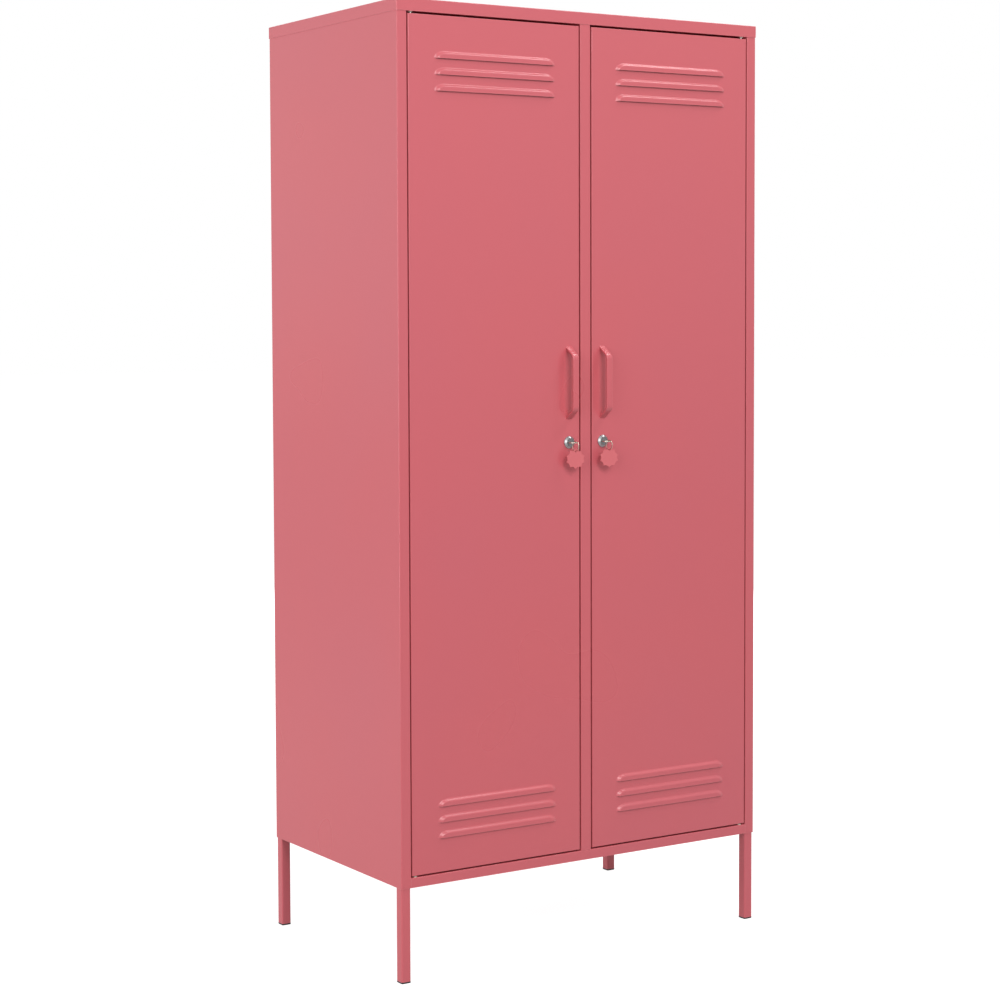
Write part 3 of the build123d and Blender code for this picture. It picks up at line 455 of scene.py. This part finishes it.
def louvre_bank_tree():
    """Louvres one above the other: pressed hoods that rise from the sheet and end in a slot along their
    lower edge. A grid is drawn apart at its middle to the length, then lifted by its distance from the
    hood's outline, which is straight along the top and a quarter of an oval at each end."""
    tree, size = node_tree("louvre_bank", {
        "Start": "Vector", "Count": "Int", "Pitch": "Float", "Length": "Float", "Height": "Float",
        "Proud": "Float", "Run": "Float", "Slope": "Float", "Margin": "Float", "End": "Float",
        "Columns": "Int", "Rows": "Int", "Material": "Material"})

    # Grid, with its two halves moved apart
    tall = add_node(tree, "ShaderNodeMath", {
        0: size["Height"], 1: size["Margin"]}, operation="ADD").outputs[0]
    wide = add_node(tree, "ShaderNodeMath", {0: size["End"], 1: 2.0}, operation="MULTIPLY").outputs[0]
    grid = add_node(tree, "GeometryNodeMeshGrid", {
        "Size X": wide, "Size Y": tall, "Vertices X": size["Columns"], "Vertices Y": size["Rows"]})
    spot = add_node(tree, "ShaderNodeSeparateXYZ", {
        "Vector": add_node(tree, "GeometryNodeInputPosition").outputs["Position"]}).outputs
    half = add_node(tree, "ShaderNodeMath", {0: size["Length"], 1: 0.5}, operation="MULTIPLY").outputs[0]
    reach = add_node(tree, "ShaderNodeMath", {0: half, 1: size["Margin"]}, operation="ADD").outputs[0]
    stretch = add_node(tree, "ShaderNodeMath", {0: reach, 1: size["End"]}, operation="SUBTRACT").outputs[0]
    side = add_node(tree, "ShaderNodeMath", {0: spot["X"]}, operation="SIGN").outputs[0]
    across = add_node(tree, "ShaderNodeMath", {
        0: side, 1: stretch, 2: spot["X"]}, operation="MULTIPLY_ADD").outputs[0]
    above = add_node(tree, "ShaderNodeMath", {
        0: tall, 1: 0.5, 2: spot["Y"]}, operation="MULTIPLY_ADD").outputs[0]

    # Distance from the hood's spine, which grows to the height at its outline
    point = add_node(tree, "ShaderNodeCombineXYZ", {"X": across, "Z": above}).outputs["Vector"]
    folded = add_node(tree, "ShaderNodeVectorMath", {0: point}, operation="ABSOLUTE").outputs["Vector"]
    straight = add_node(tree, "ShaderNodeMath", {0: half, 1: size["Run"]}, operation="SUBTRACT").outputs[0]
    spine_end = add_node(tree, "ShaderNodeCombineXYZ", {"X": straight}).outputs["Vector"]
    past = add_node(tree, "ShaderNodeVectorMath", {
        0: folded, 1: spine_end}, operation="SUBTRACT").outputs["Vector"]
    beyond = add_node(tree, "ShaderNodeVectorMath", {
        0: past, 1: (0, 0, 0)}, operation="MAXIMUM").outputs["Vector"]
    flatness = add_node(tree, "ShaderNodeMath", {
        0: size["Height"], 1: size["Run"]}, operation="DIVIDE").outputs[0]
    oval = add_node(tree, "ShaderNodeCombineXYZ", {"X": flatness, "Z": 1.0}).outputs["Vector"]
    round_end = add_node(tree, "ShaderNodeVectorMath", {
        0: beyond, 1: oval}, operation="MULTIPLY").outputs["Vector"]
    distance = add_node(tree, "ShaderNodeVectorMath", {0: round_end}, operation="LENGTH").outputs["Value"]

    # Hood, and its copies up the door
    brow = add_node(tree, "ShaderNodeMath", {
        0: size["Height"], 1: size["Slope"]}, operation="SUBTRACT").outputs[0]
    rise = add_node(tree, "ShaderNodeMapRange", {
        "Value": distance, "From Min": size["Height"], "From Max": brow,
        "To Min": 0.0, "To Max": size["Proud"]}, interpolation_type="SMOOTHSTEP").outputs["Result"]
    outward = add_node(tree, "ShaderNodeMath", {0: rise, 1: -1.0}, operation="MULTIPLY").outputs[0]
    pressed = add_node(tree, "ShaderNodeCombineXYZ", {
        "X": across, "Y": outward, "Z": above}).outputs["Vector"]
    hood = add_node(tree, "GeometryNodeSetPosition", {
        "Geometry": grid.outputs["Mesh"], "Position": pressed})
    step = add_node(tree, "ShaderNodeCombineXYZ", {"Z": size["Pitch"]}).outputs["Vector"]
    line = add_node(tree, "GeometryNodeMeshLine", {
        "Count": size["Count"], "Start Location": size["Start"], "Offset": step})
    bank = add_node(tree, "GeometryNodeInstanceOnPoints", {
        "Points": line.outputs["Mesh"], "Instance": hood.outputs["Geometry"]})
    close_tree(tree, bank.outputs["Instances"], size["Material"])
    return tree


def fastener_rows_tree():
    """Copies of one fastener along two directions, turned to the face that they sit on."""
    tree, size = node_tree("fastener_rows", {
        "Fastener": "Object", "Start": "Vector", "Turn": "Rotation", "Count": "Int", "Step": "Vector",
        "Rows": "Int", "Row Step": "Vector", "Material": "Material"})
    row = add_node(tree, "GeometryNodeMeshLine", {"Count": size["Count"], "Offset": size["Step"]})
    column = add_node(tree, "GeometryNodeMeshLine", {
        "Count": size["Rows"], "Start Location": size["Start"], "Offset": size["Row Step"]})
    rows = add_node(tree, "GeometryNodeInstanceOnPoints", {
        "Points": column.outputs["Mesh"], "Instance": row.outputs["Mesh"]})
    places = add_node(tree, "GeometryNodeRealizeInstances", {"Geometry": rows.outputs["Instances"]})
    fastener = add_node(tree, "GeometryNodeObjectInfo", {"Object": size["Fastener"]})
    copies = add_node(tree, "GeometryNodeInstanceOnPoints", {
        "Points": places.outputs["Geometry"], "Instance": fastener.outputs["Geometry"],
        "Rotation": size["Turn"]})
    close_tree(tree, copies.outputs["Instances"], size["Material"])
    return tree


# Shapes

def set_piece(mesh, name, body, slot, *nodes):
    """Finished mesh as a piece that rides on a body and stands for CAD nodes."""
    piece = placed(name, mesh)
    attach(piece, body)
    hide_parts(*nodes)


def finished(bm, name, material, closed=True, smooth_below=SMOOTH_BELOW):
    """Mesh with its doubles merged, smooth where it bends gently and sharp at its edges."""
    bmesh.ops.remove_doubles(bm, verts=bm.verts, dist=MERGE)
    if closed:
        bmesh.ops.recalc_face_normals(bm, faces=bm.faces)
    mesh = bpy.data.meshes.new(name)
    bm.to_mesh(mesh)
    bm.free()
    mesh.materials.clear()
    mesh.materials.append(material)
    mesh.shade_smooth()
    mesh.set_sharp_from_angle(angle=smooth_below)
    return mesh


def join_rings(bm, rings, round_again=False):
    """Faces from each ring of points to the next, and from the last to the first if asked."""
    rows = [[bm.verts.new(point) for point in ring] for ring in rings]
    pairs = list(zip(rows, rows[1:] + rows[:1]))
    for row, after in pairs if round_again else pairs[:-1]:
        for i in range(len(row)):
            j = (i + 1) % len(row)
            bm.faces.new((row[i], after[i], after[j], row[j]))
    return rows


def swept_bar(bm, rings):
    """Bar through rings of points, closed over the first and the last."""
    rows = join_rings(bm, rings)
    bm.faces.new(rows[0])
    bm.faces.new(rows[-1])


def flat_sided(angle, sides):
    """Reach of a polygon at an angle, as a share of the reach of its corners."""
    half = pi / sides
    return cos(half) / cos(angle % (2 * half) - half)


def turned(bm, profile, place, segments, round_again=False):
    """Shape turned on a lathe: a profile of radius and length, about the local Z of a place. A third number
    gives that ring so many flat sides."""
    angles = [2 * pi * i / segments for i in range(segments)]
    rings = []
    for radius, along, *sides in profile:
        reach = [radius * (flat_sided(a, *sides) if sides else 1) for a in angles]
        rings.append([place @ Vector((r * cos(a), r * sin(a), along)) for r, a in zip(reach, angles)])
    join_rings(bm, rings, round_again)


def arc(centre, radius, first, last, steps):
    """Points along an arc, from one angle to another in degrees."""
    angles = [radians(first + (last - first) * i / steps) for i in range(steps + 1)]
    return [(centre[0] + radius * cos(a), centre[1] + radius * sin(a)) for a in angles]


def plate_hole(centre, radius):
    """Outline of a round hole in a plate."""
    return arc(centre, radius, 360, 360 / PLATE_HOLE_POINTS, PLATE_HOLE_POINTS - 1)


def plate(name, outlines, thickness, edge, place, material):
    """Plate cut to an outline, with holes after it, and with rounded edges."""
    curve = bpy.data.curves.new(name, "CURVE")
    curve.dimensions = "2D"
    curve.fill_mode = "BOTH"
    curve.extrude = thickness / 2 - edge
    curve.bevel_depth = edge
    curve.bevel_resolution = PLATE_EDGE_STEPS
    curve.offset = -edge
    for outline in outlines:
        spline = curve.splines.new("POLY")
        spline.points.add(len(outline) - 1)
        for point, (x, y) in zip(spline.points, outline):
            point.co = (x, y, 0, 1)
        spline.use_cyclic_u = True
    holder = placed(name, curve)
    flat = as_mesh(holder)
    bpy.data.objects.remove(holder)
    flat.transform(place)
    bm = bmesh.new()
    bm.from_mesh(flat)
    return finished(bm, name, material, smooth_below=PLATE_SMOOTH_BELOW)


def with_thickness(sheet, thickness):
    """Painted sheet given its thickness on the inside."""
    holder = placed(sheet.name, sheet)
    wall = holder.modifiers.new("wall", "SOLIDIFY")
    wall.thickness = thickness
    wall.offset = -1
    wall.use_even_offset = True
    bm = bmesh.new()
    bm.from_object(holder, bpy.context.evaluated_depsgraph_get())
    bpy.data.objects.remove(holder)
    return finished(bm, sheet.name, coral_coat, closed=False)


def upright(place, turn):
    """Matrix of an upright plane at a place: X across, Y up, and Z outwards, which is to the front when the
    turn is zero."""
    across = Vector((cos(turn), sin(turn), 0))
    up = Vector((0, 0, 1))
    return Matrix.Translation(place) @ Matrix((across, up, across.cross(up))).transposed().to_4x4()


def corners(node, reach=(0, 0, 0)):
    """Lowest and highest corner of a node's box, drawn in across X, Y and Z."""
    low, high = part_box(node)
    return Vector(low) + Vector(reach), Vector(high) - Vector(reach)


def middle(node):
    """Middle of a node's box."""
    low, high = corners(node)
    return (low + high) / 2


# Doors, handles and locks

def handle_half(side):
    """Half the length of a handle."""
    low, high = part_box(f"{side}_handle")
    return (high[2] - low[2]) / 2


def door_skin(side):
    """Door of folded sheet: louvres, slots open below them, turned edges, holes for lock and handle."""
    low, high = corners(f"{side}_door_skin")
    back, lock, handle = high.y, middle(f"{side}_lock_plug"), middle(f"{side}_handle")
    inset = BEND + SUPPORT
    left, right, bottom, top = low.x + inset, high.x - inset, low.z + inset, high.z - inset
    centre_x = (low.x + high.x) / 2

    pitch, tall = LOUVRE["Pitch"], LOUVRE["Height"] + LOUVRE["Margin"]
    lowest = low.z + LOUVRE_INSET
    highest = high.z - LOUVRE_INSET - LOUVRE["Height"]
    banks = [lowest, highest - (LOUVRE["Count"] - 1) * pitch]
    slots = [[bank + i * pitch for i in range(LOUVRE["Count"])] for bank in banks]
    reach = LOUVRE["Length"] / 2 + LOUVRE["Margin"]
    ends = [LOUVRE["End"] * (2 * i / (LOUVRE["Columns"] - 1) - 1) for i in range(LOUVRE["Columns"])]
    hood = [centre_x + x + copysign(reach - LOUVRE["End"], x) for x in ends]

    # Heights at which the flat sheet is divided, each with its points across
    def louvre_lines(bank):
        lines = []
        for slot in bank:
            lines += [(slot, [left, *hood[:2], *hood[-2:], right]), (slot + tall, [left, *hood, right])]
        return lines

    fitting_low, fitting_high = lock.z - FITTING_ROOM, handle.z + handle_half(side) + FITTING_ROOM
    lines = [(bottom, [left, right]), *louvre_lines(slots[0])]
    lines += [(fitting_low, [left, lock.x, right]), (fitting_high, [left, lock.x, right])]
    lines += [*louvre_lines(slots[1]), (top, [left, right])]
    holes = [(lock.z, LOCK_HOLE), (handle.z - BOSS_REACH, SCREW_HOLE), (handle.z + BOSS_REACH, SCREW_HOLE)]

    bm = bmesh.new()

    def flat_face(points):
        bm.faces.new([bm.verts.new((x, FRONT, z)) for x, z in points])

    def hole_side(order, first, last):
        points = []
        for z, radius in order:
            points += arc((lock.x, z), radius, first, last, HALF_HOLE_STEPS)
        return points

    for (z0, xs0), (z1, xs1) in zip(lines, lines[1:]):
        if z0 in slots[0] + slots[1]:
            rows = [z0 + tall * i / (LOUVRE["Rows"] - 1) for i in range(LOUVRE["Rows"])]
            flat_face([(left, z0), *[(hood[0], z) for z in rows], (left, z1)])
            flat_face([*[(hood[-1], z) for z in reversed(rows)], (right, z0), (right, z1)])
        elif z0 == fitting_low:
            left_sides, right_sides = hole_side(holes, 270, 90), hole_side(holes[::-1], 90, -90)
            flat_face([(left, z0), (lock.x, z0), *left_sides, (lock.x, z1), (left, z1)])
            flat_face([(lock.x, z1), *right_sides, (lock.x, z0), (right, z0), (right, z1)])
        else:
            flat_face([(x, z0) for x in xs0] + [(x, z1) for x in reversed(xs1)])

    # Folded edge, as the distance from the door's edge and the depth
    turn = [radians(90 * i / FOLD_STEPS) for i in range(1, FOLD_STEPS + 1)]
    fold = [(inset, FRONT), (BEND, FRONT)]
    fold += [(BEND * (1 - sin(a)), FRONT + BEND * (1 - cos(a))) for a in turn]
    fold += [(0, FRONT + inset), (0, back - inset), (0, back - BEND)]
    fold += [(BEND * (1 - cos(a)), back - BEND * (1 - sin(a))) for a in turn]
    fold += [(inset, back), (DOOR_LIP, back)]
    heights = [z for z, _ in lines[1:-1]]
    rings = []
    for drawn_in, y in fold:
        uprights = [low.z + drawn_in, *heights, high.z - drawn_in]
        rings.append([(high.x - drawn_in, y, z) for z in uprights]
                     + [(low.x + drawn_in, y, z) for z in reversed(uprights)])
    join_rings(bm, rings)

    for bank in slots:
        bm.from_mesh(grown(louvre_bank, {
            **LOUVRE, "Start": (centre_x, FRONT, bank[0]), "Material": coral_coat}))
    return with_thickness(finished(bm, f"{side}_door_sheet", coral_coat, closed=False), SHEET)


def bow_handle(side):
    """Bar with a crowned front, bent into a bow, its ends flat on the door, with a boss inside each end."""
    low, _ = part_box(f"{side}_handle")
    centre, half, standoff = middle(f"{side}_handle"), handle_half(side), FRONT - low[1]
    leg = Vector((half - HANDLE_GRIP, standoff)).normalized()
    lean = atan2(leg.y, leg.x)
    bend_depth = standoff - HANDLE_BEND
    bend_height = HANDLE_GRIP - HANDLE_BEND * leg.y / (1 + leg.x)

    # Section of the bar: the place across it, and the depth below its front
    wide, edge = HANDLE_WIDTH / 2, HANDLE_EDGE
    across, thick = wide - edge, HANDLE_THICK - edge
    section = arc((across, thick), edge, 0, 90, HANDLE_EDGE_STEPS)
    section += arc((-across, thick), edge, 90, 180, HANDLE_EDGE_STEPS)
    crown = arc((0, 0), 1, 180, 360, HANDLE_CROWN_STEPS)
    section += [(wide * x, HANDLE_CROWN * (1 + w)) for x, w in crown]

    def bar(depth, height, x):
        return centre.x + x, FRONT - depth, centre.z + height

    rings = [[bar(0, half - w / leg.y, x) for x, w in section]]
    for sign in (1, -1):
        for i in range(HANDLE_BEND_STEPS + 1):
            share = 1 - i / HANDLE_BEND_STEPS if sign > 0 else i / HANDLE_BEND_STEPS
            angle = lean * share
            rings.append([bar(bend_depth + (HANDLE_BEND - w) * cos(angle),
                              sign * (bend_height + (HANDLE_BEND - w) * sin(angle)), x)
                          for x, w in section])
    rings.append([bar(0, w / leg.y - half, x) for x, w in section])
    bm = bmesh.new()
    swept_bar(bm, rings)
    boss = [(SCREW_HOLE, 0), (BOSS_RADIUS, 0), (BOSS_RADIUS, BOSS_HEIGHT), (SCREW_HOLE, BOSS_HEIGHT)]
    for z in (centre.z - BOSS_REACH, centre.z + BOSS_REACH):
        turned(bm, boss, upright((centre.x, FRONT, z), 0), BOSS_SEGMENTS, round_again=True)
    return finished(bm, f"{side}_bow_handle", coral_coat)


def lock_barrel(side):
    """Lock body: a round face with a sloping rim on the door, and the ridges of a thread behind it."""
    low, high = corners(f"{side}_lock_barrel")
    outer, face, rear = (high.x - low.x) / 2, FRONT - low.y, FRONT - high.y
    slope = face - LOCK_SHOULDER
    profile = [(LOCK_BORE, face - LOCK_BREAK), (LOCK_BORE + LOCK_BREAK, face), (LOCK_FACE, face)]
    profile += arc((outer - LOCK_BREAK, slope - LOCK_BREAK), LOCK_BREAK, 45, 0, LOCK_BREAK_STEPS)
    profile += [(outer, 0), (THREAD_CREST, 0)]
    ridges = int(-rear / THREAD_PITCH) - 1
    for i in range(1, ridges + 1):
        crest = -THREAD_PITCH * i
        profile += [(THREAD_CREST, crest), (THREAD_ROOT, crest - THREAD_PITCH / 2)]
    profile += [(THREAD_ROOT, rear), (LOCK_BORE, rear)]
    bm = bmesh.new()
    centre = middle(f"{side}_lock_barrel")
    place = upright((centre.x, FRONT, centre.z), 0)
    turned(bm, profile, place, LOCK_SEGMENTS, round_again=True)
    mesh = finished(bm, f"{side}_lock_body", lock_rim)
    # The flat front of the face takes the darker nickel, a painted shade; the rim and thread keep the
    # lighter one.
    mesh.materials.append(lock_face)
    for polygon in mesh.polygons:
        near_axis = (polygon.center - place.translation).xz.length < LOCK_FACE
        polygon.material_index = 1 if near_axis and polygon.normal.y < FACING_FRONT else 0
    return mesh


# Keys, rings and tags

def door_key(side):
    """Flat key with a cut blade in the plug and a round-cornered bow with a hole for its ring."""
    low, high = corners(f"{side}_key")
    plug_front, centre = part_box(f"{side}_lock_plug")[0][1], middle(f"{side}_key")
    blade, end, half = high.y - plug_front, plug_front - low.y, (high.x - low.x) / 2
    corner_x, first_corner, last_corner = half - KEY_CORNER, KEY_NECK + KEY_CORNER, end - KEY_CORNER
    right = [(KEY_BLADE - KEY_TIP / 2, -blade), (KEY_BLADE, KEY_TIP - blade)]
    for cut, deep in enumerate(KEY_CUTS):
        v = KEY_CUT_STEP * (cut - len(KEY_CUTS))
        right += [(KEY_BLADE, v - KEY_CUT), (KEY_BLADE - deep, v - KEY_CUT_FLAT)]
        right += [(KEY_BLADE - deep, v + KEY_CUT_FLAT), (KEY_BLADE, v + KEY_CUT)]
    neck_angle = -degrees(acos((KEY_NECK_HALF - corner_x) / KEY_CORNER))
    right += [(KEY_BLADE, 0), (KEY_NECK_HALF, 0)]
    right += arc((corner_x, first_corner), KEY_CORNER, neck_angle, 0, KEY_CORNER_STEPS)
    right += arc((corner_x, last_corner), KEY_CORNER, 0, 90, KEY_CORNER_STEPS)
    outline = right + [(-x, v) for x, v in reversed(right)]
    hole = plate_hole((0, end - KEY_WEB - KEY_HOLE), KEY_HOLE)
    place = Matrix.Translation((centre.x, plug_front, centre.z)) @ Matrix.Rotation(pi, 4, "X")
    return plate(f"{side}_flat_key", [outline, hole], high.z - low.z, KEY_EDGE, place, nickel)


def key_tag(side):
    """Round plastic tag with a scalloped edge, and a hole near its top."""
    low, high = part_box(f"{side}_key_tag")
    tip, each = (high[2] - low[2]) / 2, 2 * pi / TAG_POINTS
    far = TAG_VALLEY + TAG_SCALLOP
    outline = []
    for i in range(TAG_POINTS * TAG_STEPS):
        off_valley = each * ((i % TAG_STEPS) / TAG_STEPS - 0.5)
        scallop = far * cos(off_valley) - sqrt(TAG_SCALLOP ** 2 - (far * sin(off_valley)) ** 2)
        radius = min(tip, scallop)
        angle = pi / 2 + each * i / TAG_STEPS
        outline.append((radius * cos(angle), radius * sin(angle)))
    hole = plate_hole((0, TAG_HOLE_UP), TAG_HOLE)
    place = upright(middle(f"{side}_key_tag"), TAG_TURN)
    return plate(f"{side}_scalloped_tag", [outline, hole], TAG_THICK, TAG_EDGE, place, tag_plastic)


def split_ring(side):
    """Flat spring wire wound round in coils that lie side by side."""
    low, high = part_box(f"{side}_key_ring")
    radius = (high[2] - low[2] - RING_DEEP - RING_EDGE) / 2
    place = upright(middle(f"{side}_key_ring"), RING_TURN)
    deep, wide = RING_DEEP / 2 - RING_EDGE, RING_WIDE / 2 - RING_EDGE
    section = []
    for quarter, (d, w) in enumerate([(deep, wide), (-deep, wide), (-deep, -wide), (deep, -wide)]):
        section += arc((d, w), RING_EDGE, 90 * quarter, 90 * (quarter + 1), RING_EDGE_STEPS)
    rings = []
    for i in range(RING_COILS * RING_STEPS + 1):
        coils = i / RING_STEPS
        angle, slide = 2 * pi * coils, (coils - RING_COILS / 2) * RING_WIDE
        rings.append([place @ Vector(((radius + d) * cos(angle), (radius + d) * sin(angle), slide + w))
                      for d, w in section])
    bm = bmesh.new()
    swept_bar(bm, rings)
    return finished(bm, f"{side}_split_ring", nickel)


# Fasteners, as profiles about their axis

def button_screw(head, height, shank, length):
    """Profile of a screw: domed head with a hexagon socket, and a shank that reaches below zero."""
    socket, floor, mouth = 0.42 * head, 0.4 * height, 0.96 * height
    brow, rim, dome_steps = 1.12 * socket, 0.3 * height, 8
    tip = 0.2 * shank
    profile = [(0, floor), (socket, floor, HEX), (socket, mouth, HEX)]
    dome = arc((0, 0), 1, 90, 0, dome_steps)
    profile += [(brow + (head - brow) * r, rim + (height - rim) * v) for r, v in dome]
    return profile + [(head, 0), (shank, 0), (shank, tip - length), (shank - tip, -length), (0, -length)]


def blind_rivet(grip):
    """Profile of a blind rivet: shallow dome with the dimple of its mandrel, shank, and the bulb behind."""
    edge = RIVET_HEIGHT * sqrt(1 - (RIVET_DIMPLE / RIVET_HEAD) ** 2)
    floor, dome_start, dome_steps, bulb_steps = 0.6 * edge, 70, 7, 6
    profile = [(0, floor), (RIVET_DIMPLE, floor), (RIVET_DIMPLE, edge)]
    profile += [(RIVET_HEAD * r, RIVET_HEIGHT * v) for r, v in arc((0, 0), 1, dome_start, 0, dome_steps)]
    profile += [(RIVET_SHANK, 0), (RIVET_SHANK, -grip)]
    bulb = arc((0, 0), 1, 0, -90, bulb_steps)
    return profile + [(RIVET_BULB * r, RIVET_BULB_HEIGHT * v - grip) for r, v in bulb]


def hex_nut(height):
    """Profile of a chamfered nut below zero, to be closed on itself."""
    inset = NUT_CORNER - NUT_CHAMFER
    return [(NUT_BORE, 0), (inset, 0), (NUT_CORNER, -NUT_CHAMFER, HEX),
            (NUT_CORNER, NUT_CHAMFER - height, HEX), (inset, -height), (NUT_BORE, -height)]


def bumper(height):
    """Profile of a soft pad with a rounded edge."""
    edge_steps = 6
    crown = arc((BUMPER - BUMPER_EDGE, height - BUMPER_EDGE), BUMPER_EDGE, 90, 0, edge_steps)
    return [(0, height), *crown, (BUMPER, 0), (0, 0)]


def fasteners(name, profile, material, rows, turn, hollow=False):
    """Mesh of one turned fastener, repeated in rows that each have a start, a count, a step, a number of
    rows and a step between them."""
    bm = bmesh.new()
    turned(bm, profile, Matrix.Identity(4), FASTENER_SEGMENTS, round_again=hollow)
    pattern = placed(f"{name}_pattern", finished(bm, f"{name}_pattern", material))
    bm = bmesh.new()
    for start, count, step, rows_across, row_step in rows:
        bm.from_mesh(grown(fastener_rows, {
            "Fastener": pattern, "Start": start, "Turn": turn, "Count": count, "Step": step,
            "Rows": rows_across, "Row Step": row_step, "Material": material}))
    bpy.data.objects.remove(pattern)
    return finished(bm, name, material)


def carcass_fasteners():
    """Rivets of the panels, bolts and nuts of the legs, and the pads that the doors close against."""
    low, high = corners("panel_rivets", (RIVET_HEAD, RIVET_HEIGHT, RIVET_HEAD))
    seam_y = middle("back_panel_left").y
    climb = (0, 0, (high.z - low.z) / (RIVET_COUNT - 1))
    edge_rows = [((low.x, high.y, low.z), RIVET_COUNT, climb, 2, (high.x - low.x, 0, 0))]
    seam_rows = [((SEAM_GRIP / 2, seam_y, low.z), RIVET_COUNT, climb, 1, NO_STEP)]
    bm = bmesh.new()
    bm.from_mesh(fasteners("edge_rivets", blind_rivet(EDGE_GRIP), coral_coat, edge_rows, TO_BACK))
    bm.from_mesh(fasteners("seam_rivets", blind_rivet(SEAM_GRIP), coral_coat, seam_rows, TO_RIGHT))
    rivets = finished(bm, "domed_rivets", coral_coat)
    set_piece(rivets, "domed_rivets", "carcass", "coral_powder_coat", "panel_rivets")

    low, high = corners("leg_bolts", (BOLT_HEAD, BOLT_HEAD, 0))
    seat, across = high.z - BOLT_HEIGHT, (high.x - low.x - BOLT_PITCH, 0, 0)

    def leg_rows(z):
        return [((low.x, y, z), 2, (BOLT_PITCH, 0, 0), 2, across) for y in (low.y, high.y)]

    profile = button_screw(BOLT_HEAD, BOLT_HEIGHT, BOLT_SHANK, seat - low.z)
    bolts = fasteners("socket_bolts", profile, zinc, leg_rows(seat), TO_TOP)
    set_piece(bolts, "socket_bolts", "carcass", "zinc_steel", "leg_bolts")
    nut_low, nut_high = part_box("leg_nuts")
    profile = hex_nut(nut_high[2] - nut_low[2])
    nuts = fasteners("hex_nuts", profile, zinc, leg_rows(nut_high[2]), TO_TOP, hollow=True)
    set_piece(nuts, "hex_nuts", "carcass", "zinc_steel", "leg_nuts")

    low, high = corners("door_bumpers", (BUMPER, 0, BUMPER))
    pad_rows = [((low.x, high.y, low.z), 2, (0, 0, high.z - low.z), 2, (high.x - low.x, 0, 0))]
    pads = fasteners("soft_pads", bumper(high.y - low.y), rubber, pad_rows, TO_FRONT)
    set_piece(pads, "soft_pads", "carcass", "grey_rubber", "door_bumpers")


def door_fasteners(side):
    """Screws behind a handle, and the screw that holds the cam on its plug."""
    low, high = corners(f"{side}_handle_screws", (SCREW_HEAD, 0, SCREW_HEAD))
    seat = high.y - SCREW_HEIGHT
    rows = [((low.x, seat, low.z), 2, (0, 0, high.z - low.z), 1, NO_STEP)]
    profile = button_screw(SCREW_HEAD, SCREW_HEIGHT, SCREW_SHANK, seat - low.y)
    screws = fasteners(f"{side}_handle_button_screws", profile, zinc, rows, TO_BACK)
    set_piece(screws, f"{side}_handle_button_screws", f"{side}_door", "zinc_steel", f"{side}_handle_screws")

    low, high = corners(f"{side}_cam_screw", (CAM_HEAD, 0, CAM_HEAD))
    seat = high.y - CAM_HEIGHT
    rows = [((low.x, seat, low.z), 1, NO_STEP, 1, NO_STEP)]
    profile = button_screw(CAM_HEAD, CAM_HEIGHT, CAM_SHANK, seat - low.y)
    screw = fasteners(f"{side}_cam_button_screw", profile, zinc, rows, TO_BACK)
    set_piece(screw, f"{side}_cam_button_screw", f"{side}_lock", "zinc_steel", f"{side}_cam_screw")


# All pieces

louvre_bank = louvre_bank_tree()
fastener_rows = fastener_rows_tree()
for side in SIDES:
    door, lock = f"{side}_door", f"{side}_lock"
    set_piece(door_skin(side), f"{side}_door_sheet", door, "coral_powder_coat", f"{side}_door_skin")
    set_piece(bow_handle(side), f"{side}_bow_handle", door, "coral_powder_coat", f"{side}_handle")
    set_piece(lock_barrel(side), f"{side}_lock_body", door, "chrome", f"{side}_lock_barrel")
    set_piece(door_key(side), f"{side}_flat_key", lock, "nickel_steel", f"{side}_key")
    set_piece(split_ring(side), f"{side}_split_ring", f"{side}_ring", "nickel_steel", f"{side}_key_ring")
    set_piece(key_tag(side), f"{side}_scalloped_tag", f"{side}_tag", "coral_tag", f"{side}_key_tag")
    door_fasteners(side)
carcass_fasteners()
